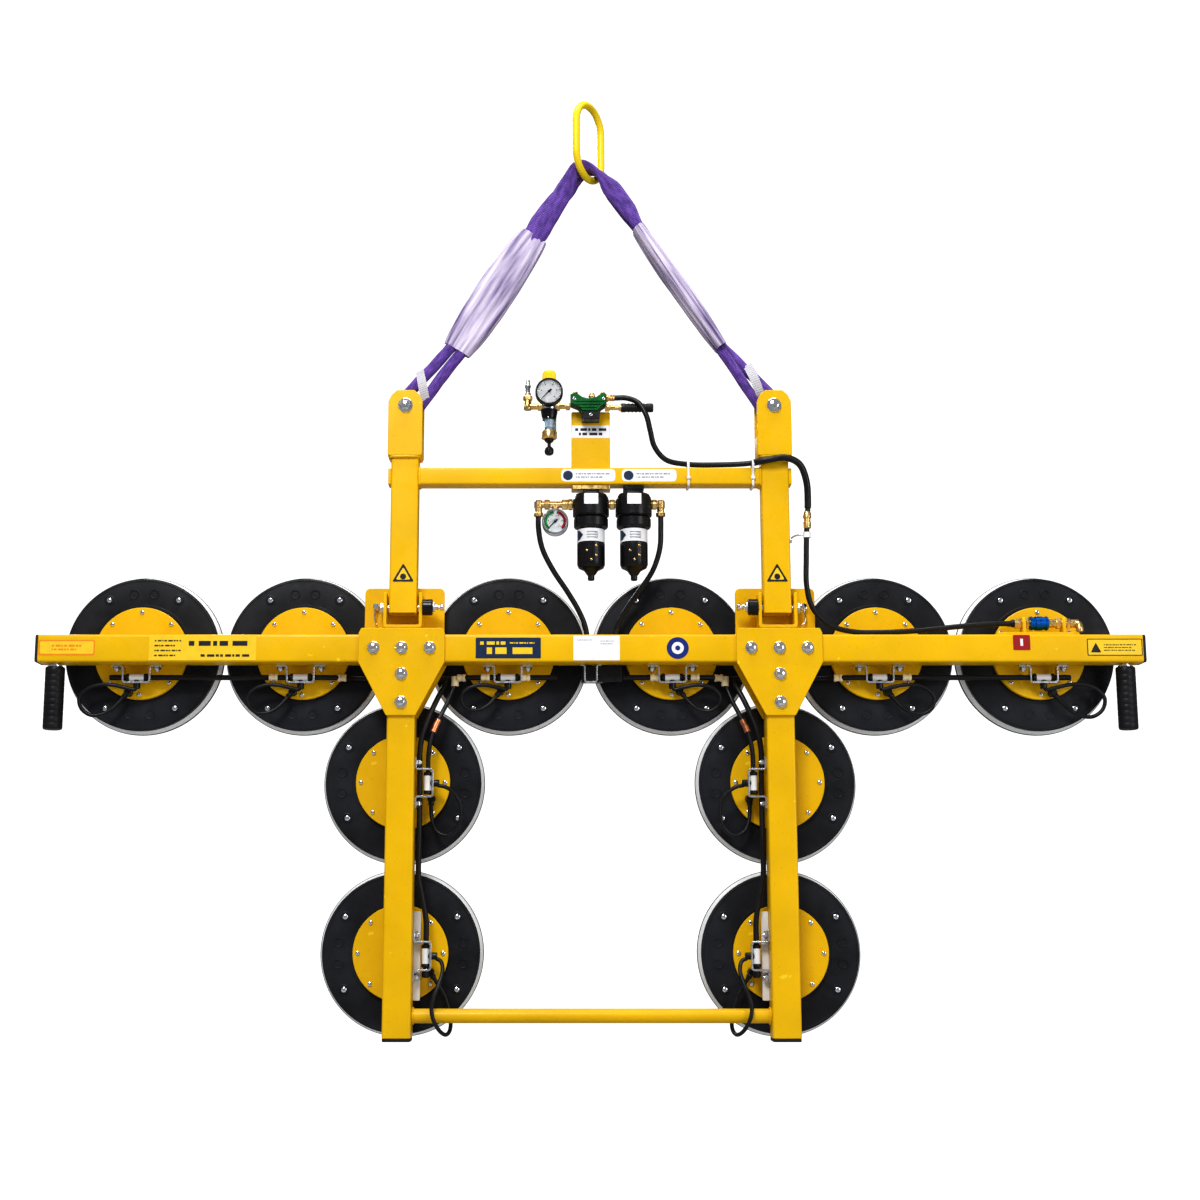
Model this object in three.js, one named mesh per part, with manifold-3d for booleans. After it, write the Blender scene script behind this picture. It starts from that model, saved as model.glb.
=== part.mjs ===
// Ten-pad vacuum lifting frame: a tilting pad frame hung from a bail with an air-driven vacuum unit.
// Millimetres, +Z up. The origin is the hook seat, inside the top of the sling's master link.
// The pads' suction faces look along +Y; the controls and gauges face -Y.
import * as THREE from 'three';
import { mergeVertices } from 'three/addons/utils/BufferGeometryUtils.js';
import Module from 'manifold-3d';

const wasm = await Module();
wasm.setup();

// ---------- driving dimensions ----------
const BEAM_DROP = 1052; // hook seat down to the beam's centre line
const TUBE = 50.8; // square tube of the beam and columns
const HALF = TUBE / 2;
const WALL = 4.8;
const GAP = 0.3; // left between neighbouring pieces
const BEAM_LENGTH = 2014;
const COLUMN_X = 342;
const COLUMN_FOOT_Z = -695;
const PLATE = 6; // gusset, ear and clevis plate
const TIE_BAR_Z = -651.5;
const TIE_BAR_RADIUS = 12.7;

const LEG_DEPTH = 38.1; // bail legs are 50.8 x 38.1 tube
const LEG_FOOT_Z = 66;
const LUG_DEPTH = 50.8;
const LUG_FOOT_Z = 360;
const LUG_TOP_Z = 485;
const LUG_SLOT_Z = 400;
const SLING_BOLT_Z = 455.7;
const CROSS_TOP_Z = 339;
const CROSS_HEIGHT = 32;

const PIVOT_Y = 6;
const PIVOT_Z = 77.4;
const PIN_RADIUS = 8;
const LATCH_REACH = 17; // latch pin to pivot pin, centre to centre
const LATCH_Y = PIVOT_Y - LATCH_REACH;
const LATCH_RADIUS = 4;
const EAR_INNER = 29.5; // ear faces, from the leg's centre plane
const EAR_OUTER = EAR_INNER + PLATE;

const PAD_RADIUS = 142.5;
const LIP_RADIUS = 148.5;
const PLATE_RADIUS = 86;
const PAD_BACK_Y = 51.3;
const PAD_FACE_Y = 85;
const PAD_PLATE_Y = 41;
const STEM_RADIUS = 8;
const BEAM_PADS_X = [-830, -530, -150.5, 150.5, 530, 830];
const COLUMN_PADS_Z = [-238, -544];

const HOSE_RADIUS = 5;
const FILTERS_X = [2, 81];
const FILTER_PIPE_Z = 272;
const GENERATOR_Y = -23;
const REGULATOR_X = -75.3;
const REGULATOR_Y = -22;
const VALVE_Z = 49;

// ---------- materials ----------
function finish(color, roughness, metalness) {
  return new THREE.MeshStandardMaterial({ color, roughness, metalness });
}

const yellowPaint = finish(0xfcc800, 0.4, 0.1);
const linkYellow = finish(0xfae11e, 0.4, 0.2);
const padRubber = finish(0x232328, 0.75, 0);
const gripRubber = finish(0x1c1c1f, 0.7, 0);
const hoseRubber = finish(0x18181b, 0.5, 0);
const zinc = finish(0xb9bcc2, 0.35, 0.9);
const brass = finish(0xc8a050, 0.3, 1);
const blackPlastic = finish(0x141417, 0.35, 0);
const greenAluminium = finish(0x1e5a2d, 0.4, 0.6);
const blueAluminium = finish(0x1464be, 0.35, 0.6);
const clearBowl = finish(0xbcd4e6, 0.1, 0);
const gaugeSteel = finish(0xc4c7cc, 0.25, 1);
const slingPurple = finish(0x7040b0, 0.9, 0);
const sleeveLilac = finish(0xbea5c8, 0.9, 0);

// ---------- shape helpers ----------
function toSolid(geometry) {
  let plain = geometry.clone();
  plain.deleteAttribute('normal');
  plain.deleteAttribute('uv');
  plain = mergeVertices(plain, 1e-4);
  const vertProperties = Float32Array.from(plain.attributes.position.array);
  const triVerts = Uint32Array.from(plain.index.array);
  return new wasm.Manifold(new wasm.Mesh({ numProp: 3, vertProperties, triVerts }));
}

function toGeometry(solid) {
  const mesh = solid.getMesh();
  const geometry = new THREE.BufferGeometry();
  geometry.setAttribute('position', new THREE.BufferAttribute(mesh.vertProperties, 3));
  geometry.setIndex(new THREE.BufferAttribute(mesh.triVerts, 1));
  geometry.computeVertexNormals();
  return geometry;
}

function join(...geometries) {
  return toGeometry(geometries.map(toSolid).reduce((a, b) => a.add(b)));
}

function cut(body, ...tools) {
  return toGeometry(tools.map(toSolid).reduce((a, b) => a.subtract(b), toSolid(body)));
}

function block(x0, x1, y0, y1, z0, z1) {
  const box = new THREE.BoxGeometry(x1 - x0, y1 - y0, z1 - z0);
  return box.translate((x0 + x1) / 2, (y0 + y1) / 2, (z0 + z1) / 2);
}

// A cylinder along 'x', 'y' or 'z' from a to b; u and v place its axis on the other two coordinates.
function rod(axis, radius, a, b, u, v, sides = 16) {
  const cylinder = new THREE.CylinderGeometry(radius, radius, b - a, sides);
  const middle = (a + b) / 2;
  if (axis === 'x') return cylinder.rotateZ(-Math.PI / 2).translate(middle, u, v);
  if (axis === 'y') return cylinder.translate(u, middle, v);
  return cylinder.rotateX(Math.PI / 2).translate(u, v, middle);
}

// A plate in the XZ plane from y0 to y1, with its outline given as [x, z] points.
function plate(outline, y0, y1) {
  const shape = new THREE.Shape(outline.map(([x, z]) => new THREE.Vector2(x, z)));
  const slab = new THREE.ExtrudeGeometry(shape, { depth: y1 - y0, bevelEnabled: false });
  return slab.rotateX(Math.PI / 2).translate(0, y1, 0);
}

// Turns an outline of [radius, height] points about +Z.
function turned(outline, sides) {
  const points = outline.map(([r, h]) => new THREE.Vector2(r, h));
  return new THREE.LatheGeometry(points, sides).rotateX(Math.PI / 2);
}

// A round hose through hand-placed points, with a step every few diameters.
function hose(points, radius, steps, sides = 8) {
  const curve = new THREE.CatmullRomCurve3(points.map((p) => new THREE.Vector3(...p)), false, 'centripetal');
  const section = new THREE.Shape();
  for (let k = 0; k < sides; k++) {
    const angle = (2 * Math.PI * k) / sides;
    const put = k ? 'lineTo' : 'moveTo';
    section[put](radius * Math.cos(angle), radius * Math.sin(angle));
  }
  return new THREE.ExtrudeGeometry(section, { extrudePath: curve, steps });
}

// Skins equal rings of points; the rings close on themselves, and with loop the last ring meets the first.
function skin(rings, loop) {
  const count = rings[0].length;
  const spans = loop ? rings.length : rings.length - 1;
  const faces = [];
  for (let i = 0; i < spans; i++) {
    for (let j = 0; j < count; j++) {
      const a = i * count + j;
      const b = i * count + ((j + 1) % count);
      const c = ((i + 1) % rings.length) * count + ((j + 1) % count);
      const d = ((i + 1) % rings.length) * count + j;
      faces.push(a, b, c, a, c, d);
    }
  }
  const geometry = new THREE.BufferGeometry();
  const positions = rings.flat().flatMap((p) => [p.x, p.y, p.z]);
  geometry.setAttribute('position', new THREE.Float32BufferAttribute(positions, 3));
  geometry.setIndex(faces);
  geometry.computeVertexNormals();
  return geometry;
}

// ---------- scene graph ----------
const lifter = new THREE.Group();
const frame = new THREE.Group(); // everything is measured from the beam's centre
frame.position.z = -BEAM_DROP;
lifter.add(frame);

function add(name, geometry, material, parent = frame) {
  const mesh = new THREE.Mesh(geometry, material.clone());
  mesh.name = name;
  parent.add(mesh);
  return mesh;
}

const SIDES = [['left', -1], ['right', 1]];

// ---------- pad frame ----------
function squareTube(length, width, depth) {
  const outer = block(-width / 2, width / 2, -depth / 2, depth / 2, -length / 2, length / 2);
  const w = width / 2 - WALL;
  const d = depth / 2 - WALL;
  return cut(outer, block(-w, w, -d, d, -length / 2 + WALL, length / 2 - WALL));
}

function stemHole(x, z) {
  return rod('y', STEM_RADIUS + 1, 0, HALF + 5, x, z, 12);
}

const beam = squareTube(BEAM_LENGTH, TUBE, TUBE).rotateY(Math.PI / 2);
add('main_beam', cut(beam, ...BEAM_PADS_X.map((x) => stemHole(x, 0))), yellowPaint);

const columnTop = -HALF - GAP;
for (const [side, sign] of SIDES) {
  const tube = squareTube(columnTop - COLUMN_FOOT_Z, TUBE, TUBE);
  tube.translate(0, 0, (columnTop + COLUMN_FOOT_Z) / 2);
  const holes = COLUMN_PADS_Z.map((z) => stemHole(0, z));
  add(`column_${side}`, cut(tube, ...holes), yellowPaint).position.x = sign * COLUMN_X;
}

const tieHalf = COLUMN_X - HALF - GAP;
const tieBar = rod('x', TIE_BAR_RADIUS, -tieHalf, tieHalf, 0, TIE_BAR_Z, 12);
add('tie_bar', tieBar, yellowPaint);

// Gusset plates: wide over the beam, tapering down the column.
const TAPER = [[-26.5, -123], [26.5, -123], [78, -26], [78, 27]];
const gussetOutline = [...TAPER, [73.5, 36], [-73.5, 36], [-78, 27], [-78, -26]];
const bracketOutline = [
  ...TAPER, [73.5, 36], [73.5, 111], [71, 116.5], [65.5, 119],
  [-65.5, 119], [-71, 116.5], [-73.5, 111], [-73.5, 36], [-78, 27], [-78, -26],
];

// The bracket's rear plate carries a U clevis for the bail leg and, on its inner ear, the latch housing.
function hingeBracket(inner) {
  const rear = plate(bracketOutline, HALF + GAP, HALF + GAP + PLATE);
  const clevisBack = HALF + GAP + 1;
  const web = block(-EAR_OUTER, EAR_OUTER, -20, clevisBack, 38, 38 + PLATE);
  const ears = [-1, 1].map((s) => block(
    Math.min(s * EAR_INNER, s * EAR_OUTER), Math.max(s * EAR_INNER, s * EAR_OUTER),
    -20, clevisBack, 38, 104,
  ));
  const from = inner * (EAR_OUTER - 1);
  const to = inner * 54;
  const housing = rod('x', 15, Math.min(from, to), Math.max(from, to), LATCH_Y, PIVOT_Z, 20);
  const pinHole = rod('x', PIN_RADIUS + 0.3, -60, 60, PIVOT_Y, PIVOT_Z, 20);
  const low = Math.min(inner * 20, inner * 60);
  const high = Math.max(inner * 20, inner * 60);
  const latchHole = rod('x', LATCH_RADIUS + 0.3, low, high, LATCH_Y, PIVOT_Z, 12);
  return cut(join(rear, web, ...ears, housing), pinHole, latchHole);
}

// The pivot pin has its head outside and ends flush in the inner ear.
function hingePin(inner) {
  const shank = [-inner * (EAR_OUTER + 6), inner * (EAR_OUTER - GAP)];
  const head = [-inner * (EAR_OUTER + GAP), -inner * (EAR_OUTER + 8)];
  const pin = rod('x', PIN_RADIUS, Math.min(...shank), Math.max(...shank), PIVOT_Y, PIVOT_Z, 20);
  return join(pin, rod('x', 12, Math.min(...head), Math.max(...head), PIVOT_Y, PIVOT_Z, 6));
}

// The latch pin is drawn parked: its tip is clear of the leg and its pull knob stands off the housing.
function latchPin(inner) {
  const shank = [inner * (HALF + 1.2), inner * 69];
  const knob = [inner * 68, inner * 74];
  const pin = rod('x', LATCH_RADIUS, Math.min(...shank), Math.max(...shank), LATCH_Y, PIVOT_Z, 12);
  return join(pin, rod('x', 6.5, Math.min(...knob), Math.max(...knob), LATCH_Y, PIVOT_Z, 16));
}

for (const [side, sign] of SIDES) {
  const front = plate(gussetOutline, -HALF - GAP - PLATE, -HALF - GAP);
  add(`gusset_${side}`, front, yellowPaint).position.x = sign * COLUMN_X;
  add(`hinge_bracket_${side}`, hingeBracket(-sign), yellowPaint).position.x = sign * COLUMN_X;
  add(`hinge_pin_${side}`, hingePin(-sign), zinc).position.x = sign * COLUMN_X;
  add(`latch_${side}`, latchPin(-sign), zinc).position.x = sign * COLUMN_X;
}

const GRIP = [[0, -146], [15, -146], [17.5, -143], [17.5, -34], [15, -31], [0, -31]];
for (const [side, sign] of SIDES) {
  const grip = join(turned(GRIP, 20), rod('z', 7, -40, -HALF - GAP, 0, 0, 12));
  add(`grip_${side}`, grip, gripRubber).position.x = sign * 975;
}

// ---------- vacuum pads ----------
// Outlines are [radius, distance behind the beam's centre plane].
const CUP = [
  [0, PAD_BACK_Y], [PAD_RADIUS, PAD_BACK_Y], [PAD_RADIUS, 66], [LIP_RADIUS, 79], [LIP_RADIUS, PAD_FACE_Y],
  [LIP_RADIUS - 15, PAD_FACE_Y], [LIP_RADIUS - 19, PAD_FACE_Y - 3.5], [0, PAD_FACE_Y - 3.5],
];
const PAD_PLATE = [
  [0, 15], [STEM_RADIUS, 15], [STEM_RADIUS, PAD_PLATE_Y],
  [PLATE_RADIUS, PAD_PLATE_Y], [PLATE_RADIUS, PAD_BACK_Y - GAP], [0, PAD_BACK_Y - GAP],
];

// LatheGeometry turns about Y, which is the pads' own axis.
function turnedAboutY(outline, sides) {
  return new THREE.LatheGeometry(outline.map(([r, y]) => new THREE.Vector2(r, y)), sides);
}

const padPlaces = [
  ...BEAM_PADS_X.map((x) => [x, 0]),
  ...COLUMN_PADS_Z.flatMap((z) => [[-COLUMN_X, z], [COLUMN_X, z]]),
];
padPlaces.forEach(([x, z], k) => {
  const pad = new THREE.Group();
  pad.position.set(x, 0, z);
  frame.add(pad);
  add(`pad_cup_${k + 1}`, turnedAboutY(CUP, 24), padRubber, pad);
  add(`pad_plate_${k + 1}`, turnedAboutY(PAD_PLATE, 16), yellowPaint, pad);
});

// ---------- vacuum line under the beam and down the columns ----------
const LINE_Y = 20;
const LINE_Z = -48;
const LINE_BEHIND_Y = 37.2; // where the line passes behind a bracket plate
const HEADER = [
  [-880, LINE_Y, LINE_Z], [-700, LINE_Y, LINE_Z], [-482, LINE_Y, LINE_Z], [-452, 26, LINE_Z],
  [-436, 34, LINE_Z], [-418, LINE_BEHIND_Y, LINE_Z], [-266, LINE_BEHIND_Y, LINE_Z], [-251, 34, LINE_Z],
  [-236, 26, LINE_Z], [-202, LINE_Y, LINE_Z], [0, LINE_Y, LINE_Z], [202, LINE_Y, LINE_Z],
  [236, 26, LINE_Z], [251, 34, LINE_Z], [266, LINE_BEHIND_Y, LINE_Z], [418, LINE_BEHIND_Y, LINE_Z],
  [436, 34, LINE_Z], [452, 26, LINE_Z], [482, LINE_Y, LINE_Z], [700, LINE_Y, LINE_Z], [880, LINE_Y, LINE_Z],
];
const TEE = { x0: -16, x1: 58, y0: 12, y1: 38, z0: -57, z1: -27 };

function columnLine(sign) {
  const x = sign * (COLUMN_X - HALF - 8.5);
  return hose([
    [sign * 262, 36, LINE_Z], [sign * 266, 28, -60], [sign * 274, 18, -77], [sign * 286, 10, -104],
    [sign * 299, 5, -137], [x, 4, -175], [x, 4, -300], [x, 4, -410], [sign * 300, 4, -450],
    [sign * 294, 4, -485], [sign * 293.5, 4, -580],
  ], HOSE_RADIUS, 20);
}

const tee = block(TEE.x0, TEE.x1, TEE.y0, TEE.y1, TEE.z0, TEE.z1);
add('vacuum_line', join(hose(HEADER, HOSE_RADIUS, 52), tee, columnLine(-1), columnLine(1)), hoseRubber);

// ---------- hand slide valve on the beam ----------
const valveParts = [
  block(741, 881, -12, 12, HALF + GAP, 31),
  block(789, 795, -10, 10, 30, VALVE_Z),
  block(862, 868, -10, 10, 30, VALVE_Z),
  rod('x', 8, 783, 893, 0, VALVE_Z, 16),
  rod('y', 6, -4, 22, 887, VALVE_Z, 12),
];
add('valve_body', join(...valveParts), brass);
const sleeveRing = cut(rod('x', 13, 804, 837, 0, VALVE_Z, 20), rod('x', 8.6, 800, 841, 0, VALVE_Z, 20));
add('valve_sleeve', sleeveRing, blueAluminium);

// ---------- bail ----------
const lugOutline = [
  [-31.75, LUG_FOOT_Z], [31.75, LUG_FOOT_Z], [31.75, 463], [26, 476], [16, LUG_TOP_Z],
  [-16, LUG_TOP_Z], [-26, 476], [-31.75, 463],
];

// A leg is a tube with a wider box lug over its top; the lug's sides are cut away to make a clevis.
function bailLeg(inner) {
  const legTop = 390;
  const tube = squareTube(legTop - LEG_FOOT_Z, TUBE, LEG_DEPTH).translate(0, 0, (legTop + LEG_FOOT_Z) / 2);
  const lug = plate(lugOutline, -LUG_DEPTH / 2, LUG_DEPTH / 2);
  const slot = block(-40, 40, -LEG_DEPTH / 2, LEG_DEPTH / 2, LUG_SLOT_Z, 500);
  const socket = block(-HALF + WALL, HALF - WALL, -LEG_DEPTH / 2 + WALL, LEG_DEPTH / 2 - WALL, 300, 385);
  const low = Math.min(inner * 10, inner * 40);
  const high = Math.max(inner * 10, inner * 40);
  const holes = [
    rod('y', PIN_RADIUS + 0.4, -40, 40, 0, SLING_BOLT_Z, 20),
    rod('x', PIN_RADIUS + 0.3, -40, 40, PIVOT_Y, PIVOT_Z, 20),
    rod('x', LATCH_RADIUS + 0.5, low, high, LATCH_Y, PIVOT_Z, 12),
    rod('x', LATCH_RADIUS + 0.5, low, high, PIVOT_Y, PIVOT_Z + LATCH_REACH, 12),
  ];
  return cut(join(tube, cut(lug, slot)), socket, ...holes);
}

const SLING_BOLT = [[0, -36], [13, -36], [13, -25.8], [8, -25.8], [8, 25.8], [12, 25.8], [12, 35], [0, 35]];
for (const [side, sign] of SIDES) {
  add(`bail_leg_${side}`, bailLeg(-sign), yellowPaint).position.x = sign * COLUMN_X;
  const bolt = add(`sling_bolt_${side}`, turnedAboutY(SLING_BOLT, 12), zinc);
  bolt.position.set(sign * COLUMN_X, 0, SLING_BOLT_Z);
}

const crossHalf = COLUMN_X - HALF - GAP;
const crossTube = squareTube(2 * crossHalf, CROSS_HEIGHT, LEG_DEPTH).rotateY(Math.PI / 2);
crossTube.translate(0, 0, CROSS_TOP_Z - CROSS_HEIGHT / 2 - 0.5);
const ventHole = rod('z', 3, 300, 315, -200, 0, 8);
const unitPlate = block(-34, 38, -6, 0, CROSS_TOP_Z - 5, 448);
add('cross_tube', cut(join(crossTube, unitPlate), ventHole), yellowPaint);

// ---------- air unit ----------
const generatorParts = [
  block(-36, 31, -40, -6 - GAP, 429, 477),
  rod('x', 6, 25, 36, GENERATOR_Y, 470, 12),
  rod('x', 7.4, 25, 118, GENERATOR_Y, 451, 12),
];
add('vacuum_generator', join(...generatorParts), greenAluminium);

const regulatorParts = [
  rod('z', 14, 438, 500, REGULATOR_X, REGULATOR_Y, 16),
  rod('x', 6, -120, REGULATOR_X, REGULATOR_Y, 454, 12),
  rod('z', 6, 448, 505, -115, REGULATOR_Y, 12),
  rod('x', 6, REGULATOR_X, -36 - GAP, REGULATOR_Y, 454, 12),
];
add('filter_regulator', join(...regulatorParts), brass);

const BOWL = [
  [0, 361], [5, 361], [8.4, 366], [8.4, 391], [14.5, 392], [14.5, 406], [13.6, 407],
  [13.6, 437.7], [0, 437.7],
];
add('regulator_bowl', turned(BOWL, 16).translate(REGULATOR_X, REGULATOR_Y, 0), clearBowl);
const KNOB = [[0, 500.3], [11, 500.3], [13, 502.5], [13, 518], [11, 521], [0, 521]];
add('regulator_knob', turned(KNOB, 16).translate(REGULATOR_X, REGULATOR_Y, 0), yellowPaint);

// A gauge is a shallow cup facing -Y with its stem behind or above; the dial lies inside the rim.
function gaugeCase(radius, back, depth) {
  const rim = 1.8;
  const dial = back - depth + 4;
  const front = back - depth;
  const outline = [
    [0, dial], [radius - rim, dial], [radius - rim, front], [radius, front], [radius, back], [0, back],
  ];
  return turnedAboutY(outline, 24);
}

// The needle's hub turns on the dial's centre; its tip rests at the lower left stop.
function needle(length) {
  const hand = plate([[-1.4, -5], [1.4, -5], [0.5, length], [-0.5, length]], 0, 1);
  return join(hand, rod('y', 2.4, 0, 1.4, 0, 0, 10)).rotateY((-135 * Math.PI) / 180);
}

const pressureGauge = join(
  gaugeCase(25.6, -40, 20),
  rod('y', 5, -41, REGULATOR_Y - 14 - GAP, 0, -12, 10),
);
add('pressure_gauge', pressureGauge, gaugeSteel).position.set(REGULATOR_X, 0, 473);
add('pressure_needle', needle(18), blackPlastic).position.set(REGULATOR_X, -58, 473);

const VACUUM_GAUGE = { x: -64, z: 237, radius: 23, back: 6, depth: 24 };
const vacuumGauge = join(
  gaugeCase(VACUUM_GAUGE.radius, VACUUM_GAUGE.back, VACUUM_GAUGE.depth),
  rod('z', 5, 20, FILTER_PIPE_Z - 6 - GAP - VACUUM_GAUGE.z, 0, 0, 10),
);
add('vacuum_gauge', vacuumGauge, gaugeSteel).position.set(VACUUM_GAUGE.x, 0, VACUUM_GAUGE.z);
add('vacuum_needle', needle(16), blackPlastic).position.set(VACUUM_GAUGE.x, -16, VACUUM_GAUGE.z);

// ---------- vacuum filters under the cross tube ----------
const [filterLeft, filterRight] = FILTERS_X;
const manifoldParts = [
  ...FILTERS_X.map((x) => rod('z', 34, 246, 290, x, 0, 20)),
  ...FILTERS_X.map((x) => block(x - 15, x + 15, -14, 14, 288, CROSS_TOP_Z - CROSS_HEIGHT - 0.8)),
  rod('x', 6, -95, filterLeft, 0, FILTER_PIPE_Z, 12),
  rod('x', 6, filterLeft, filterRight, 0, FILTER_PIPE_Z, 12),
  rod('x', 6, filterRight, 131, 0, FILTER_PIPE_Z, 12),
  rod('z', 6.5, 258, 279, -95, 0, 12),
  rod('z', 6.5, 258, 279, 131, 0, 12),
];
add('filter_manifold', join(...manifoldParts), blackPlastic);
const FILTER_BOWL = [[0, 129], [6, 129], [7, 146], [22, 147], [26, 158], [26, 245.7], [0, 245.7]];
add('filter_bowl_left', turned(FILTER_BOWL, 20).translate(filterLeft, 0, 0), blackPlastic);
add('filter_bowl_right', turned(FILTER_BOWL, 20).translate(filterRight, 0, 0), blackPlastic);

// ---------- hoses from the bail to the frame ----------
const HOSE_MAIN = [
  [36.6, -23, 470], [48, -23, 470], [68, -26, 469], [90, -35, 457], [104, -40, 432], [111, -38, 404],
  [119, -31, 375],
  [140, -20, 353], [177, -13, 346], [240, -12, 345], [295, -19, 346], [325, -31, 349], [362, -33, 353],
  [386, -29, 342], [399, -20, 314], [402, -14, 275], [399, -12, 225], [397, -11, 170], [397, -9, 115],
  [408, -5, 76], [436, -1, 47], [480, 0, 34], [530, 0, 32.5], [600, 0, 36], [680, 0, 44], [740, 0, 48.5],
  [782.6, 0, 49],
];
const HOSE_LEFT = [
  [-95, 0, 257.6], [-95, 0, 228], [-88, 2, 190], [-68, 8, 150], [-42, 17, 112], [-20, 27, 76],
  [-8, 32.5, 46], [-4, 33, 12], [-3, 32, -12], [-3, 31.5, -26.7],
];
const HOSE_RIGHT = [
  [131, 0, 257.6], [131, 0, 228], [129, 2, 190], [116, 8, 150], [92, 17, 114], [66, 27, 78],
  [50, 32.5, 46], [46, 33, 12], [45, 32, -12], [45, 31.5, -26.7],
];
add('hose_main', hose(HOSE_MAIN, HOSE_RADIUS, 46), hoseRubber);
add('hose_left', hose(HOSE_LEFT, HOSE_RADIUS, 14), hoseRubber);
add('hose_right', hose(HOSE_RIGHT, HOSE_RADIUS, 14), hoseRubber);

// ---------- rigging, measured from the hook seat ----------
const LINK_BAR = 7;
const LINK_HALF_WIDTH = 44.5; // bar centre line
const LINK_STRAIGHT = 60;
const LINK_TURN = (57 * Math.PI) / 180;

function masterLink() {
  const across = new THREE.Vector3(Math.cos(LINK_TURN), Math.sin(LINK_TURN), 0);
  const normal = new THREE.Vector3(-Math.sin(LINK_TURN), Math.cos(LINK_TURN), 0);
  const up = new THREE.Vector3(0, 0, 1);
  const top = LINK_BAR - LINK_HALF_WIDTH; // centre of the upper bow
  const rings = [];
  const bowSteps = 9;
  for (let half = 0; half < 2; half++) {
    for (let k = 0; k <= bowSteps; k++) {
      const angle = Math.PI * (half + k / bowSteps);
      const outward = across.clone().multiplyScalar(Math.cos(angle)).addScaledVector(up, Math.sin(angle));
      const centre = outward.clone().multiplyScalar(LINK_HALF_WIDTH);
      centre.z += top - half * LINK_STRAIGHT;
      const ring = [];
      for (let j = 0; j < 10; j++) {
        const turn = (2 * Math.PI * j) / 10;
        const point = centre.clone().addScaledVector(outward, LINK_BAR * Math.cos(turn));
        ring.push(point.addScaledVector(normal, LINK_BAR * Math.sin(turn)));
      }
      rings.push(ring);
    }
  }
  return skin(rings, true);
}

add('master_link', masterLink(), linkYellow, lifter);

// Endless round sling: up from the left bolt, over the link, round the right bolt and back.
const SLING_RADIUS = 7;
const SLING = [
  [-351.4, 0, -608.8], [-357.4, 0, -598.5], [-354.5, 0, -586.9], [-286, 0, -507], [-222, 0, -430],
  [-162, 0, -337], [-112, 1, -255], [-66, 5, -189], [-10.1, 7.6, -129.5], [4.8, 7.6, -125.6],
  [19.7, 7.6, -129.5], [62, 8, -186], [108, 8, -262], [159, 8, -346], [219, 8, -437], [284, 4, -509],
  [354.5, 0, -586.9], [357.4, 0, -598.5], [351.4, 0, -608.8], [339.8, 0, -611.7], [329.5, 0, -605.7],
  [271, -4, -520], [218, -8, -438], [159, -8, -346], [108, -8, -263], [62, -8, -188],
  [10.1, -7.6, -129.5], [-4.8, -7.6, -125.6], [-19.7, -7.6, -129.5], [-60, -8, -192], [-100, -3, -263],
  [-150, 0, -345], [-208, 0, -440], [-266, 0, -520], [-329.5, 0, -605.7], [-339.8, 0, -611.7],
];

function roundSling() {
  const curve = new THREE.CatmullRomCurve3(SLING.map((p) => new THREE.Vector3(...p)), true, 'centripetal');
  const sideways = new THREE.Vector3(0, 1, 0);
  const rings = [];
  const steps = 2 * SLING.length;
  for (let i = 0; i < steps; i++) {
    const centre = curve.getPoint(i / steps);
    const along = curve.getTangent(i / steps);
    const u = sideways.clone().addScaledVector(along, -sideways.dot(along)).normalize();
    const v = along.clone().cross(u);
    const ring = [];
    for (let j = 0; j < 8; j++) {
      const turn = (2 * Math.PI * j) / 8;
      const point = centre.clone().addScaledVector(u, SLING_RADIUS * Math.cos(turn));
      ring.push(point.addScaledVector(v, SLING_RADIUS * Math.sin(turn)));
    }
    rings.push(ring);
  }
  return skin(rings, true);
}

add('round_sling', roundSling(), slingPurple, lifter);

// A wear sleeve is a flattened open tube round both strands, wider in its middle.
function wearSleeve(from, to, flatInY, endHalf, middleHalf, thickHalf) {
  const along = new THREE.Vector3().subVectors(to, from);
  const direction = along.clone().normalize();
  const inY = new THREE.Vector3(0, 1, 0);
  const wide = flatInY ? inY : direction.clone().cross(inY);
  const thin = direction.clone().cross(wide);
  const steps = 6;
  const sides = 14;
  const cloth = 2.2;
  const wall = (inset) => {
    const rings = [];
    for (let i = 0; i <= steps; i++) {
      const t = i / steps;
      const half = endHalf + (middleHalf - endHalf) * Math.sin(Math.PI * t) ** 0.7 - inset;
      const centre = from.clone().addScaledVector(along, t);
      const ring = [];
      for (let j = 0; j < sides; j++) {
        const turn = (2 * Math.PI * j) / sides;
        const point = centre.clone().addScaledVector(wide, half * Math.cos(turn));
        ring.push(point.addScaledVector(thin, (thickHalf - inset) * Math.sin(turn)));
      }
      rings.push(ring);
    }
    return rings;
  };
  return skin([...wall(0), ...wall(cloth).reverse()], true);
}

// Each sleeve runs between two points of its leg, measured from the hook seat.
const SLEEVES = {
  sleeve_left: [[-105, 0, -255], [-249, 0, -482.6], false, 26, 38, 14],
  sleeve_right: [[93.3, 0, -241.6], [248.2, 0, -478], true, 26, 31, 17],
};
for (const [name, [from, to, ...shape]] of Object.entries(SLEEVES)) {
  add(name, wearSleeve(new THREE.Vector3(...from), new THREE.Vector3(...to), ...shape), sleeveLilac, lifter);
}

export default lifter;
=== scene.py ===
"""Looks for the ten-pad vacuum lifting frame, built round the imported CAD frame.

Shapes are written in millimetres from the pad beam's centre, and build() turns them into metres
in the row frame. -Y faces the operator, +Y is where the pads' suction faces look.
"""

import math

import bmesh
import bpy
from mathutils import Matrix, Vector, noise


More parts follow.
